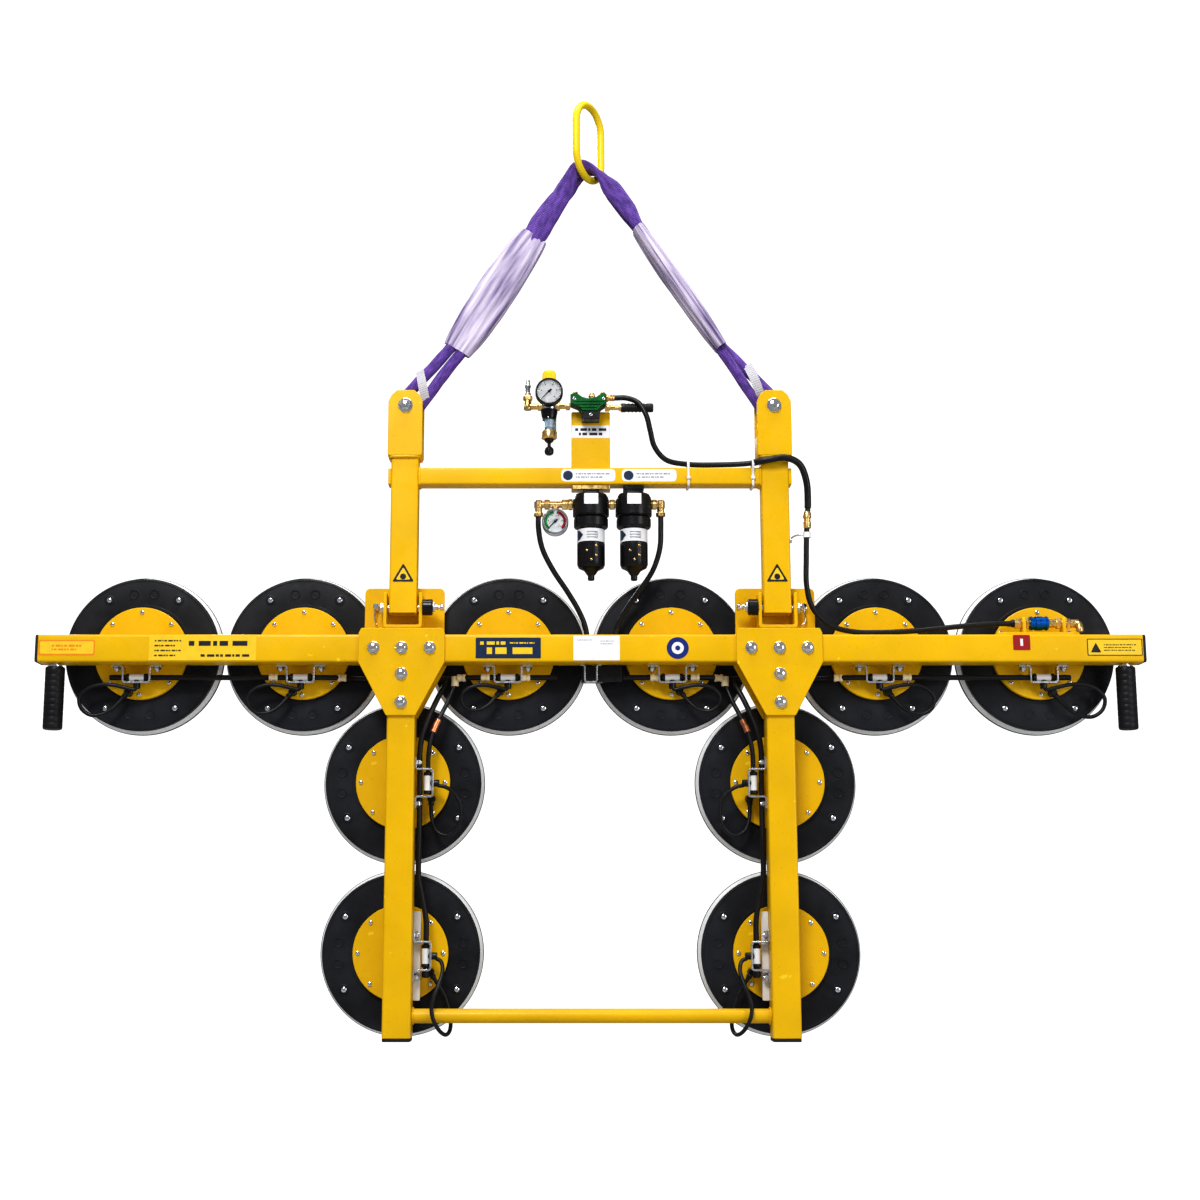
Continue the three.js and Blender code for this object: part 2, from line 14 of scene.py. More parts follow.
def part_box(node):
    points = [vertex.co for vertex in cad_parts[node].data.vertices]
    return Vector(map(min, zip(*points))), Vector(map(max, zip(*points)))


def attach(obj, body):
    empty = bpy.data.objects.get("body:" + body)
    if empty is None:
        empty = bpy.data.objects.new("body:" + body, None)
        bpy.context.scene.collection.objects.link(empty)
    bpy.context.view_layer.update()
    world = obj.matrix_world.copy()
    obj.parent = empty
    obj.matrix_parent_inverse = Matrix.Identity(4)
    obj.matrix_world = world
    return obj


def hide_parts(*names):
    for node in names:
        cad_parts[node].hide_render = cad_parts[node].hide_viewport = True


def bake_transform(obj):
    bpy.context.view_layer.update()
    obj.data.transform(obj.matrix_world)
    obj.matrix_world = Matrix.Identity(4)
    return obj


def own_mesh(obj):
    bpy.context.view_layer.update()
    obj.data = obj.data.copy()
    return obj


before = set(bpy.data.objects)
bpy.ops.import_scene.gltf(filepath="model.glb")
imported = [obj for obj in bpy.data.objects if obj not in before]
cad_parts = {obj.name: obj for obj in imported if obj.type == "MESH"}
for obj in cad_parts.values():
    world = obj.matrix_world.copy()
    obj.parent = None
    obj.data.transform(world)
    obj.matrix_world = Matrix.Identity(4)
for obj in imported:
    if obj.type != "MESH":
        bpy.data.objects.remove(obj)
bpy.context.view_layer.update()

# ---------- places, from the CAD nodes ----------


def spot(node):
    """Centre and half size of a CAD node, in millimetres from the beam's centre."""
    low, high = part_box(node)
    centre = (low + high) / 2
    return Vector((centre.x, centre.y, centre.z - BEAM_Z)) * 1000, (high - low) * 500


BEAM_Z = sum(v.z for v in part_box("main_beam")) / 2
BEAM_HALF = spot("main_beam")[1]
HALF = BEAM_HALF.y
COLUMN = spot("column_right")
COLUMN_X = COLUMN[0].x
FOOT_Z = COLUMN[0].z - COLUMN[1].z
GUSSET_FRONT = spot("gusset_left")[0].y - spot("gusset_left")[1].y
PLATE = 2 * spot("gusset_left")[1].y
BRACKET = spot("hinge_bracket_right")
BRACKET_BACK = BRACKET[0].y + BRACKET[1].y
BRACKET_TOP = BRACKET[0].z + BRACKET[1].z
PIN = spot("hinge_pin_right")[0]
LATCH = spot("latch_right")[0]
LEG = spot("bail_leg_right")
LEG_FOOT = LEG[0].z - LEG[1].z
LEG_TOP = LEG[0].z + LEG[1].z
LUG_HALF = LEG[1]
LEG_DEPTH = 19.05
LUG_FOOT = 360
LUG_SIDE_TOP = 400
BOLT_Z = spot("sling_bolt_right")[0].z
CROSS = spot("cross_tube")
CROSS_TOP = 338.5
CROSS_FOOT = CROSS[0].z - CROSS[1].z
UNIT_TOP = CROSS[0].z + CROSS[1].z
PADS = [spot(f"pad_cup_{k + 1}") for k in range(10)]
PAD_BACK = PADS[0][0].y - PADS[0][1].y
PAD_FACE = PADS[0][0].y + PADS[0][1].y
LIP_RADIUS = PADS[0][1].x
PAD_RADIUS = LIP_RADIUS - 6
DISC_RADIUS = spot("pad_plate_1")[1].x
DISC_FRONT = 41
BEAM_PADS = 6  # the first pads hang on the beam, and the others on the columns
SIDES = (("left", -1), ("right", 1))

# ---------- camera ----------
CAMERA_DISTANCE = 3.2254
CAMERA_X = -0.06
CAMERA_DROP = 0.4759  # below the beam
CAMERA_RISE = 10
LENS = 53.55
SENSOR = 36
SHIFT = 0.0355


def make_camera():
    data = bpy.data.cameras.new("camera")
    data.lens = LENS
    data.sensor_width = SENSOR
    data.shift_x = SHIFT
    camera = bpy.data.objects.new("camera", data)
    camera.location = (CAMERA_X, -CAMERA_DISTANCE, BEAM_Z - CAMERA_DROP)
    camera.rotation_euler = (math.radians(90 + CAMERA_RISE), 0, 0)
    bpy.context.scene.collection.objects.link(camera)
    bpy.context.scene.camera = camera


make_camera()

# ---------- materials ----------


class Look:
    """A Principled material; its methods add texture nodes that vary colour, roughness and bump."""

    def __init__(self, name, color, roughness, metallic=0.0, **sockets):
        self.material = bpy.data.materials.new(name)
        self.material.use_nodes = True
        self.tree = self.material.node_tree
        self.shader = self.tree.nodes["Principled BSDF"]
        self.color = (*color, 1)
        self.shader.inputs["Base Color"].default_value = self.color
        self.shader.inputs["Roughness"].default_value = roughness
        self.shader.inputs["Metallic"].default_value = metallic
        for socket, value in sockets.items():
            self.shader.inputs[socket.replace("_", " ")].default_value = value

    def node(self, kind, links=(), **values):
        made = self.tree.nodes.new(kind)
        for key, value in values.items():
            target = made.inputs[key.replace("_", " ")] if key[0].isupper() else None
            if target is None:
                setattr(made, key, value)
            else:
                target.default_value = value
        for socket, source in links:
            self.tree.links.new(source, made.inputs[socket])
        return made

    def coords(self, stretch=(1, 1, 1), use="Object"):
        source = self.node("ShaderNodeTexCoord").outputs[use]
        return self.node("ShaderNodeMapping", [("Vector", source)], Scale=stretch).outputs["Vector"]

    def noise(self, scale, detail=4.0, stretch=(1, 1, 1), use="Object"):
        vector = self.coords(stretch, use)
        made = self.node("ShaderNodeTexNoise", [("Vector", vector)], Scale=scale, Detail=detail)
        return made.outputs["Fac"]

    def ramp(self, source, stops):
        made = self.node("ShaderNodeValToRGB", [("Fac", source)])
        band = made.color_ramp
        while len(band.elements) < len(stops):
            band.elements.new(0.5)
        for element, (at, color) in zip(band.elements, stops):
            element.position = at
            element.color = (*color, 1)
        return made.outputs["Color"]

    def range(self, source, low, high, start=0.3, end=0.7):
        """Maps a texture value between start and end to low and high."""
        links = [("Value", source)]
        made = self.node("ShaderNodeMapRange", links, From_Min=start, From_Max=end, To_Min=low, To_Max=high)
        return made.outputs["Result"]

    def blend(self, factor, a, b):
        made = self.node("ShaderNodeMix", data_type="RGBA")
        self.tree.links.new(factor, made.inputs[0])
        for index, value in ((6, a), (7, b)):
            if isinstance(value, tuple):
                made.inputs[index].default_value = (*value, 1)
            else:
                self.tree.links.new(value, made.inputs[index])
        return made.outputs[2]

    def to(self, socket, source):
        self.tree.links.new(source, self.shader.inputs[socket])

    def bump(self, height, strength, distance=0.001):
        links = [("Height", height)]
        made = self.node("ShaderNodeBump", links, Strength=strength, Distance=distance)
        before = self.shader.inputs["Normal"].links
        if before:
            self.tree.links.new(before[0].from_socket, made.inputs["Normal"])
        self.tree.links.new(made.outputs["Normal"], self.shader.inputs["Normal"])


def paint(name, color, worn, roughness=0.33):
    """Powder coat: a little mottled, with orange peel and a few chips."""
    look = Look(name, color, roughness, Coat_Weight=0.08, Coat_Roughness=0.18, Specular_IOR_Level=0.22)
    shade = tuple(c * 0.86 for c in color)
    mottled = look.ramp(look.noise(9, 6), [(0.3, shade), (0.7, color)])
    specks = look.range(look.noise(260, 2), 0, 0.35, 0.66, 0.74)
    dusty = look.blend(specks, mottled, tuple(c * 0.55 for c in color))
    chips = look.range(look.noise(48, 8), 0, 1, 0.71, 0.73)
    look.to("Base Color", look.blend(chips, dusty, worn))
    look.to("Roughness", look.range(look.noise(35), roughness - 0.07, roughness + 0.14))
    look.bump(look.noise(520, 2), 0.10, 0.0004)
    look.bump(look.noise(30, 2), 0.06, 0.002)
    return look.material


def rubber(name, color, roughness, grain=900, light=2.2):
    look = Look(name, color, roughness, Specular_IOR_Level=0.2)
    pale = tuple(c * light for c in color)
    look.to("Base Color", look.ramp(look.noise(14, 6), [(0.35, color), (0.75, pale)]))
    look.to("Roughness", look.range(look.noise(60), roughness - 0.1, roughness + 0.12))
    look.bump(look.noise(grain, 3), 0.25, 0.0003)
    return look.material


def metal(name, color, roughness, tint, stretch=(1, 1, 1), scale=120):
    """Plated or machined metal: tint marks stains, stretch gives the tool marks' direction."""
    look = Look(name, color, roughness, 1.0)
    look.to("Base Color", look.ramp(look.noise(40, 6), [(0.35, color), (0.72, tint)]))
    look.to("Roughness", look.range(look.noise(scale, 4, stretch), roughness * 0.6, roughness * 1.7))
    look.bump(look.noise(scale * 4, 3, stretch), 0.08, 0.0003)
    return look.material


def plastic(name, color, roughness, grain=700):
    look = Look(name, color, roughness, Coat_Weight=0.05, Specular_IOR_Level=0.3)
    look.to(
        "Base Color", look.ramp(look.noise(22, 5), [(0.3, color), (0.75, tuple(c * 1.35 for c in color))])
    )
    look.to("Roughness", look.range(look.noise(80), roughness - 0.06, roughness + 0.1))
    look.bump(look.noise(grain, 2), 0.12, 0.0002)
    return look.material


def print_ink(name, color, roughness=0.4):
    """Label film, slightly rubbed."""
    look = Look(name, color, roughness, Coat_Weight=0.08, Coat_Roughness=0.2, Specular_IOR_Level=0.25)
    rubbed = tuple(c * 0.85 + 0.012 for c in color)
    look.to("Base Color", look.ramp(look.noise(70, 6), [(0.3, color), (0.8, rubbed)]))
    look.to("Roughness", look.range(look.noise(150), roughness - 0.1, roughness + 0.15))
    return look.material


def fabric(name, dark, light, streak, ribs, sheen, weave_and_shade=0.45):
    """Woven cover, with painted shade in the low parts of its weave: UV u runs along the piece in metres, v
    round it from 0 to 1.
    """
    look = Look(name, light, 0.85, Sheen_Weight=sheen, Sheen_Roughness=0.4)
    uv = look.coords(use="UV")
    along = look.node("ShaderNodeTexWave", [("Vector", uv)], Scale=ribs, Distortion=0.6, Detail=2.0)
    along.bands_direction = "X"
    turned = look.coords((0.02, 1, 1), "UV")
    across = look.node("ShaderNodeTexWave", [("Vector", turned)], Scale=18, Distortion=0.4)
    across.bands_direction = "Y"
    fade = look.ramp(look.noise(26, 6, streak, "UV"), [(0.34, dark), (0.66, light)])
    # painted shade: the colour goes towards dark x 0.62 in the weave's grooves, where the rib bump dips
    # lowest
    groove_shade = tuple(c * 0.62 for c in dark)
    look.to("Base Color", look.blend(look.range(along.outputs["Fac"], weave_and_shade, 0, 0, 0.55), fade, groove_shade))
    look.bump(along.outputs["Fac"], 1.1 * weave_and_shade, 0.0008)
    look.bump(across.outputs["Fac"], 0.8 * weave_and_shade, 0.0006)
    look.bump(look.noise(40, 2), 0.18, 0.003)
    return look.material


def clear(name, color, roughness, ior=1.5):
    look = Look(name, color, roughness, IOR=ior, Transmission_Weight=1.0)
    look.to("Roughness", look.range(look.noise(45, 5), roughness, roughness + 0.08))
    look.bump(look.noise(25, 2), 0.03, 0.001)
    return look.material


def ribbed_hose(name):
    look = Look(name, (0.006, 0.006, 0.007), 0.3, Specular_IOR_Level=0.3)
    look.to("Roughness", look.range(look.noise(50), 0.26, 0.5))
    scuffs = look.noise(30, 6, (0.3, 1, 1), "UV")
    look.to("Base Color", look.ramp(scuffs, [(0.4, (0.005, 0.005, 0.006)), (0.8, (0.018, 0.018, 0.021))]))
    uv = look.coords(use="UV")
    braid = look.node("ShaderNodeTexWave", [("Vector", uv)], Scale=110, Distortion=0.2)
    look.bump(braid.outputs["Fac"], 0.12, 0.0004)
    return look.material


YELLOW = paint("yellow_paint", (0.88, 0.51, 0.0), (0.95, 0.64, 0.02))
LINK_PAINT = paint("link_paint", (0.93, 0.68, 0.015), (0.35, 0.33, 0.3), 0.28)
PAD_RUBBER = rubber("pad_rubber", (0.008, 0.0085, 0.011), 0.45, 700, 2.8)
# painted reflection: this pale grey stands in for the bright floor mirrored in the pad's black rubber lip
# band
LIP_REFLECTION_PAINT = rubber("pale_rubber", (0.86, 0.86, 0.86), 0.5, 500, 1.1)
GRIP_RUBBER = rubber("grip_rubber", (0.008, 0.008, 0.009), 0.42, 1100)
HOSE = ribbed_hose("hose_cover")
ZINC = metal("zinc_plate", (0.70, 0.71, 0.73), 0.22, (0.60, 0.60, 0.66))
CHROME = metal("chrome", (0.80, 0.81, 0.84), 0.09, (0.72, 0.74, 0.8), scale=60)
STEEL = metal("brushed_steel", (0.58, 0.58, 0.60), 0.28, (0.5, 0.5, 0.52), (1, 1, 14), 90)
BRASS = metal("brass", (0.82, 0.58, 0.24), 0.24, (0.62, 0.40, 0.15))
COPPER = metal("copper_fitting", (0.75, 0.30, 0.14), 0.28, (0.5, 0.2, 0.1))
GREEN = metal("green_anodised", (0.014, 0.10, 0.03), 0.36, (0.009, 0.065, 0.02), scale=200)
BLUE = metal("blue_anodised", (0.01, 0.16, 0.62), 0.3, (0.01, 0.10, 0.42), scale=160)
BLACK = plastic("black_plastic", (0.006, 0.006, 0.007), 0.28)
BLACK_MATT = plastic("black_end_plug", (0.009, 0.009, 0.010), 0.5, 400)
YELLOW_PLASTIC = plastic("yellow_plastic", (0.93, 0.56, 0.01), 0.32)
WHITE_PLASTIC = plastic("white_plastic", (0.70, 0.70, 0.70), 0.4)
IVORY = plastic("ivory_fitting", (0.72, 0.60, 0.38), 0.4)
DIAL = print_ink("dial_white", (0.95, 0.95, 0.95), 0.5)
WHITE_FILM = print_ink("white_film", (0.93, 0.93, 0.95))
ORANGE_FILM = print_ink("orange_film", (0.90, 0.27, 0.01))
LEMON_FILM = print_ink("lemon_film", (0.95, 0.62, 0.02))
NAVY_FILM = print_ink("navy_film", (0.003, 0.022, 0.07))
BLUE_FILM = print_ink("blue_film", (0.005, 0.022, 0.19))
RED_FILM = print_ink("red_film", (0.36, 0.005, 0.008))
GREEN_FILM = print_ink("green_film", (0.02, 0.32, 0.06))
BLACK_INK = print_ink("black_ink", (0.014, 0.014, 0.016))
GREY_INK = print_ink("grey_ink", (0.32, 0.33, 0.36))
GLASS = clear("gauge_glass", (0.98, 0.99, 1.0), 0.01, 1.2)
BOWL = clear("clear_bowl", (0.80, 0.90, 0.98), 0.03, 1.35)
SLING = fabric("sling_webbing", (0.06, 0.025, 0.19), (0.19, 0.08, 0.46), (2, 0.5, 1), 95, 0.2)
SLEEVE = fabric("wear_sleeve", (0.12, 0.08, 0.22), (0.86, 0.77, 0.95), (0.24, 0.6, 1), 70, 0.1, 0.07)
TAG = fabric("sling_tag", (0.55, 0.53, 0.58), (0.74, 0.72, 0.76), (8, 3, 1), 80, 0.2)

SHARED_SLOTS = {
    "pad_rubber": [LIP_REFLECTION_PAINT],
    "hose_rubber": [HOSE],
    "zinc": [ZINC, CHROME, STEEL],
    "brass": [COPPER],
    "black_plastic": [BLACK_MATT, WHITE_PLASTIC, IVORY],
    "gauge_case": [DIAL, GLASS],
    "sleeve_fabric": [SLEEVE, TAG],
}
SLOTS = {material.name: slot for slot, materials in SHARED_SLOTS.items() for material in materials}


def slot_of(material):
    """The slot a piece of this material takes unless it names another; most have the material's name."""
    own_name = material.name.split(".")[0]  # Blender numbers a name that the CAD import has used
    return SLOTS.get(own_name, own_name)


# ---------- shapes ----------


def curve_points(points, per=6, loop=False):
    """A centripetal Catmull-Rom curve through the points, as the CAD routes use."""
    p = [Vector(q) for q in points]
    count = len(p)
    out = []
    for i in range(count if loop else count - 1):
        if loop:
            a, b, c, d = (p[(i + k) % count] for k in (-1, 0, 1, 2))
        else:
            b, c = p[i], p[i + 1]
            a = p[i - 1] if i else b * 2 - c
            d = p[i + 2] if i + 2 < count else c * 2 - b
        t0, t1, t2 = (max((v - u).length ** 0.5, 1e-4) for u, v in ((a, b), (b, c), (c, d)))
        m1 = ((b - a) / t0 - (c - a) / (t0 + t1) + (c - b) / t1) * t1
        m2 = ((c - b) / t1 - (d - b) / (t1 + t2) + (d - c) / t2) * t1
        for k in range(per):
            t = k / per
            out.append(b + m1 * t + (c * 3 - b * 3 - m1 * 2 - m2) * t**2 + (b * 2 - c * 2 + m1 + m2) * t**3)
    if not loop:
        out.append(p[-1])
    return out


def rounded(outline, radius, steps=4):
    """Rounds the corners of a closed 2-D outline; radius is one number or one for each corner."""
    count = len(outline)
    radii = radius if hasattr(radius, "__len__") else [radius] * count
    out = []
    for i in range(count):
        here = Vector(outline[i])
        back = Vector(outline[i - 1]) - here
        on = Vector(outline[(i + 1) % count]) - here
        r = radii[i]
        turn = back.angle(on)
        reach = min(r / math.tan(turn / 2) if r else 0, back.length * 0.49, on.length * 0.49)
        if reach < 0.05:
            out.append(tuple(here))
            continue
        start = here + back.normalized() * reach
        end = here + on.normalized() * reach
        for k in range(steps + 1):
            t = k / steps
            out.append(tuple(start * (1 - t) ** 2 + here * 2 * t * (1 - t) + end * t**2))
    return out


def box_outline(half_u, half_v, corner, steps=5):
    """A rectangle round the origin, with rounded corners."""
    return rounded(
        [(-half_u, -half_v), (half_u, -half_v), (half_u, half_v), (-half_u, half_v)], corner, steps
    )


def circle(radius, count, start=0.0):
    angles = [start + 2 * math.pi * k / count for k in range(count)]
    return [(radius * math.cos(a), radius * math.sin(a)) for a in angles]


def closed(outline):
    """An outline to be turned, with its ends brought to the axis where they stop short of it."""
    (first, low), (last, high) = outline[0], outline[-1]
    return [(0, low)] * (first > 0) + outline + [(0, high)] * (last > 0)


class Shape:
    """Collects vertices and faces in millimetres, then becomes one Blender object."""

    def __init__(self):
        self.verts = []
        self.faces = []
        self.uvs = {}

    def add(self, verts, faces):
        base = len(self.verts)
        self.verts += [Vector(v) for v in verts]
        self.faces += [tuple(base + i for i in face) for face in faces]
        return self

    def rings(self, rings, loop=False, caps=True):
        """Skins rings of equal length; the first and last are capped, or joined with loop."""
        base = len(self.verts)
        count = len(rings[0])
        for ring in rings:
            self.verts += [Vector(v) for v in ring]
        spans = len(rings) if loop else len(rings) - 1
        for i in range(spans):
            low, high = base + i * count, base + (i + 1) % len(rings) * count
            for j in range(count):
                k = (j + 1) % count
                self.faces.append((low + j, low + k, high + k, high + j))
        if caps and not loop:
            self.faces.append(tuple(base + j for j in reversed(range(count))))
            last = base + (len(rings) - 1) * count
            self.faces.append(tuple(last + j for j in range(count)))
        return self

    def box(self, x0, x1, y0, y1, z0, z1):
        bottom = [(x0, y0, z0), (x1, y0, z0), (x1, y1, z0), (x0, y1, z0)]
        return self.rings([bottom, [(x, y, z1) for x, y, _ in bottom]])

    def plate(self, outline, y0, y1, axis="y"):
        """A flat outline, given as (x, z), from y0 to y1; axis x or z stands it the other ways."""
        place = {
            "y": lambda a, b, h: (a, h, b),
            "x": lambda a, b, h: (h, a, b),
            "z": lambda a, b, h: (a, b, h),
        }[axis]
        return self.rings([[place(a, b, h) for a, b in outline] for h in (y0, y1)])

    def turn(self, outline, at=(0, 0, 0), axis="z", sides=32, start=0.0, loop=False):
        """Turns an outline of (radius, height) about an axis; loop joins its ends to each other."""
        place = {
            "x": lambda u, v, h: (h, u, v),
            "y": lambda u, v, h: (u, h, v),
            "z": lambda u, v, h: (u, v, h),
        }[axis]
        if not loop:
            outline = closed(outline)
        rings = []
        for r, h in outline:
            ring = circle(max(r, 0.02), sides, start)
            rings.append([Vector(place(u, v, h)) + Vector(at) for u, v in ring])
        return self.rings(rings, loop)

    def tube(self, points, radius, sides=16, caps=True, loop=False, flat=1.0, wide=(0, 1, 0)):
        """A round or flattened section along points; wide is the flattened section's long way."""
        count = len(points)
        rings = []
        length = 0.0
        for i, point in enumerate(points):
            back = points[i - 1] if i or loop else points[0]
            on = points[(i + 1) % count] if i + 1 < count or loop else points[-1]
            along = (on - back).normalized()
            ref = Vector(wide)
            u = (ref - along * ref.dot(along)).normalized()
            v = along.cross(u)
            r = radius(i / (count - 1)) if callable(radius) else radius
            r_u, r_v = r if isinstance(r, tuple) else (r, r * flat)
            section = circle(1, sides)
            if i:
                length += (point - points[i - 1]).length
            for k, _ in enumerate(section):
                self.uvs[len(self.verts) + i * sides + k] = (length / 1000, k / sides)
            rings.append([point + u * (r_u * a) + v * (r_v * b) for a, b in section])
        return self.rings(rings, loop, caps)

    def hex(self, across, h0, h1, at=(0, 0, 0), axis="y", turned=0.0):
        """A hexagon bar with chamfered ends."""
        r = across / math.sqrt(3)
        sign = 1 if h1 > h0 else -1
        cut = min(1.2, abs(h1 - h0) / 3) * sign
        outline = [(0, h0), (r * 0.9, h0), (r, h0 + cut), (r, h1 - cut), (r * 0.9, h1), (0, h1)]
        return self.turn(outline, at, axis, 6, turned)

    def copy(self):
        return Shape().add(self.verts, self.faces)

    def moved(self, matrix):
        self.verts = [matrix @ v for v in self.verts]
        return self

    def join(self, other):
        for index, uv in other.uvs.items():
            self.uvs[len(self.verts) + index] = uv
        return self.add(other.verts, other.faces)


def build(name, shape, material, body="frame", node=None, slot=None, bevel=0.0, angle=34, at=None):
    """One finished piece on its body, standing for a CAD node if it names one.

    With at, the shape stays round its own origin and the object is placed there.
    """
    offset = Vector((0, 0, 0)) if at is not None else Vector((0, 0, BEAM_Z))
    data = bpy.data.meshes.new(name)
    data.from_pydata([v / 1000 + offset for v in shape.verts], [], shape.faces)
    if shape.uvs:
        layer = data.uv_layers.new(name="UVMap")
        for loop in data.loops:
            layer.data[loop.index].uv = shape.uvs.get(loop.vertex_index, (0, 0))
    clean(data)
    data.materials.append(material)
    data.set_sharp_from_angle(angle=math.radians(angle))
    piece = bpy.data.objects.new(name, data)
    bpy.context.scene.collection.objects.link(piece)
    if at is not None:
        piece.location = Vector(at) / 1000 + Vector((0, 0, BEAM_Z))
    if bevel:
        modifier = piece.modifiers.new("bevel", "BEVEL")
        modifier.width = bevel / 1000
        modifier.segments = 2
        modifier.limit_method = "ANGLE"
        modifier.angle_limit = math.radians(40)
    if body:
        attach(piece, body)
    if slot is None:
        slot = slot_of(material)
    if node:
        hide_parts(node)
    return piece


def clean(data):
    """Merges doubled points, drops slivers and turns every face outwards."""
    bm = bmesh.new()
    bm.from_mesh(data)
    bmesh.ops.remove_doubles(bm, verts=bm.verts, dist=2e-6)
    bmesh.ops.dissolve_degenerate(bm, edges=bm.edges, dist=1e-6)
    bmesh.ops.recalc_face_normals(bm, faces=bm.faces)
    for face in bm.faces:
        face.smooth = True
    bm.to_mesh(data)
    bm.free()


def copy_of(piece, name, at, body, turned=0.0):
    """Another piece with the same mesh, turned about Y."""
    twin = bpy.data.objects.new(name, piece.data)
    bpy.context.scene.collection.objects.link(twin)
    twin.location = Vector(at) / 1000 + Vector((0, 0, BEAM_Z))
    twin.rotation_euler = (0, turned, 0)
    for modifier in piece.modifiers:
        other = twin.modifiers.new(modifier.name, modifier.type)
        other.width = modifier.width
        other.segments = modifier.segments
        other.limit_method = modifier.limit_method
        other.angle_limit = modifier.angle_limit
    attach(twin, body)
    return twin


def bar(axis, a0, a1, u, v, half_u, half_v, corner=5.0):
    """A rounded rectangular tube seen from outside, with rings along it for even shading."""
    outline = box_outline(half_u, half_v, corner)
    place = {
        "x": lambda p, q, h: (h, u + p, v + q),
        "z": lambda p, q, h: (u + p, v + q, h),
    }[axis]
    steps = max(2, round(abs(a1 - a0) / 60))
    lip = 0.8
    heights = [a0 + lip] + [a0 + (a1 - a0) * k / steps for k in range(1, steps)] + [a1 - lip]
    rings = [[place(p, q, h) for p, q in outline] for h in heights]
    shrink = 1 - lip / max(half_u, half_v)
    rings.insert(0, [place(p * shrink, q * shrink, a0) for p, q in outline])
    rings.append([place(p * shrink, q * shrink, a1) for p, q in outline])
    return Shape().rings(rings)


def weld(points, radius=2.6, loop=True):
    """A weld bead: a rippled tube along a path."""
    p = curve_points(points, 10, loop)
    ripple = [radius * (0.85 + 0.25 * noise.noise(q * 0.35)) for q in p]
    count = len(p)
    return Shape().tube(
        p, lambda t: ripple[min(int(t * count), count - 1)], 8, loop=loop, wide=(0.31, 0.9, 0.2)
    )


def rectangle(half_u, half_v, place):
    """Corner points of a rectangle with extra points, for a weld round a tube."""
    return [place(u, v) for u, v in box_outline(half_u, half_v, 5, 2)]


# ---------- cords: hoses and the sling ----------
HOSE_RADIUS = 5
HOSE_MAIN = [
    (36.6, -23, 470), (48, -23, 470), (68, -26, 469), (90, -35, 457), (104, -40, 432), (111, -38, 404),
    (119, -31, 375), (140, -20, 353), (177, -13, 346), (240, -12, 345), (295, -19, 346), (325, -31, 349),
    (362, -33, 353), (386, -29, 342), (399, -20, 314), (402, -14, 275), (399, -12, 225), (397, -11, 170),
    (397, -9, 115), (408, -5, 76), (436, -1, 47), (480, 0, 34), (530, 0, 32.5), (600, 0, 36), (680, 0, 44),
    (740, 0, 48.5), (782.6, 0, 49),
]
HOSE_LEFT = [
    (-95, 0, 257.6), (-95, 0, 228), (-88, 2, 190), (-68, 8, 150), (-42, 17, 112), (-20, 27, 76),
    (-8, 32.5, 46), (-4, 33, 12), (-3, 32, -12), (-3, 31.5, -26.7),
]
HOSE_RIGHT = [
    (131, 0, 257.6), (131, 0, 228), (129, 2, 190), (116, 8, 150), (92, 17, 114), (66, 27, 78),
    (50, 32.5, 46), (46, 33, 12), (45, 32, -12), (45, 31.5, -26.7),
]
SLING_ROUTE = [  # measured from the hook seat
    (-351.4, 0, -608.8), (-357.4, 0, -598.5), (-354.5, 0, -586.9), (-286, 0, -507), (-222, 0, -430),
    (-162, 0, -337), (-112, 1, -255), (-66, 5, -189), (-10.1, 7.6, -129.5), (4.8, 7.6, -125.6),
    (19.7, 7.6, -129.5), (62, 8, -186), (108, 8, -262), (159, 8, -346), (219, 8, -437), (284, 4, -509),
    (354.5, 0, -586.9), (357.4, 0, -598.5), (351.4, 0, -608.8), (339.8, 0, -611.7), (329.5, 0, -605.7),
    (271, -4, -520), (218, -8, -438), (159, -8, -346), (108, -8, -263), (62, -8, -188),
    (10.1, -7.6, -129.5), (-4.8, -7.6, -125.6), (-19.7, -7.6, -129.5), (-60, -8, -192), (-100, -3, -263),
    (-150, 0, -345), (-208, 0, -440), (-266, 0, -520), (-329.5, 0, -605.7), (-339.8, 0, -611.7),
]
HOOK_Z = -BEAM_Z * 1000  # the hook seat's height above the beam's centre


def metres(point):
    return Vector(point) / 1000 + Vector((0, 0, BEAM_Z))


def route_length(points):
    return sum((b - a).length for a, b in zip(points, points[1:])) / 1000


def hose(name, points, radius, body=None, per=8, **cord):
    """A hose: a smooth tube along its route."""
    path = curve_points(points, per)
    piece = build(name, Shape().tube(path, radius, 16), HOSE, body)
    tuple(metres(points[0]))
    route_length(path)
    [tuple(metres(p)) for p in path]
    return piece


def make_hoses():
    bends = {
        "hose_left": (HOSE_LEFT, (0, 0, 160), (0, 0, 40)),
        "hose_right": (HOSE_RIGHT, (0, 0, 160), (0, 0, 40)),
        "hose_main": (HOSE_MAIN, (397, 0, 170), (480, 0, 34)),
    }
    for name, (points, start, end) in bends.items():
        piece = hose(name + "_rubber", points, HOSE_RADIUS, stiffness="medium", lay="hanging")
        tuple(metres(start))
        tuple(metres(end))
        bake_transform(piece)
        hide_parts(name)


LINK_BAR = 7
LINK_HALF = 44.5
LINK_BOWS = (-37.5, -97.5)
LINK_TURN = 57
BOW_RADIUS = LINK_HALF - LINK_BAR


def on_bow(y):
    """How far the link's bow has climbed, and how far across it has gone, at y."""
    turn = math.radians(LINK_TURN)
    across = min(abs(y) / math.sin(turn), BOW_RADIUS - 2)
    return Vector((y / math.tan(turn), 0, BOW_RADIUS - math.sqrt(BOW_RADIUS**2 - across**2)))


def ramp_between(value, start, end):
    t = min(max((value - start) / (end - start), 0), 1)
    return t * t * (3 - 2 * t)


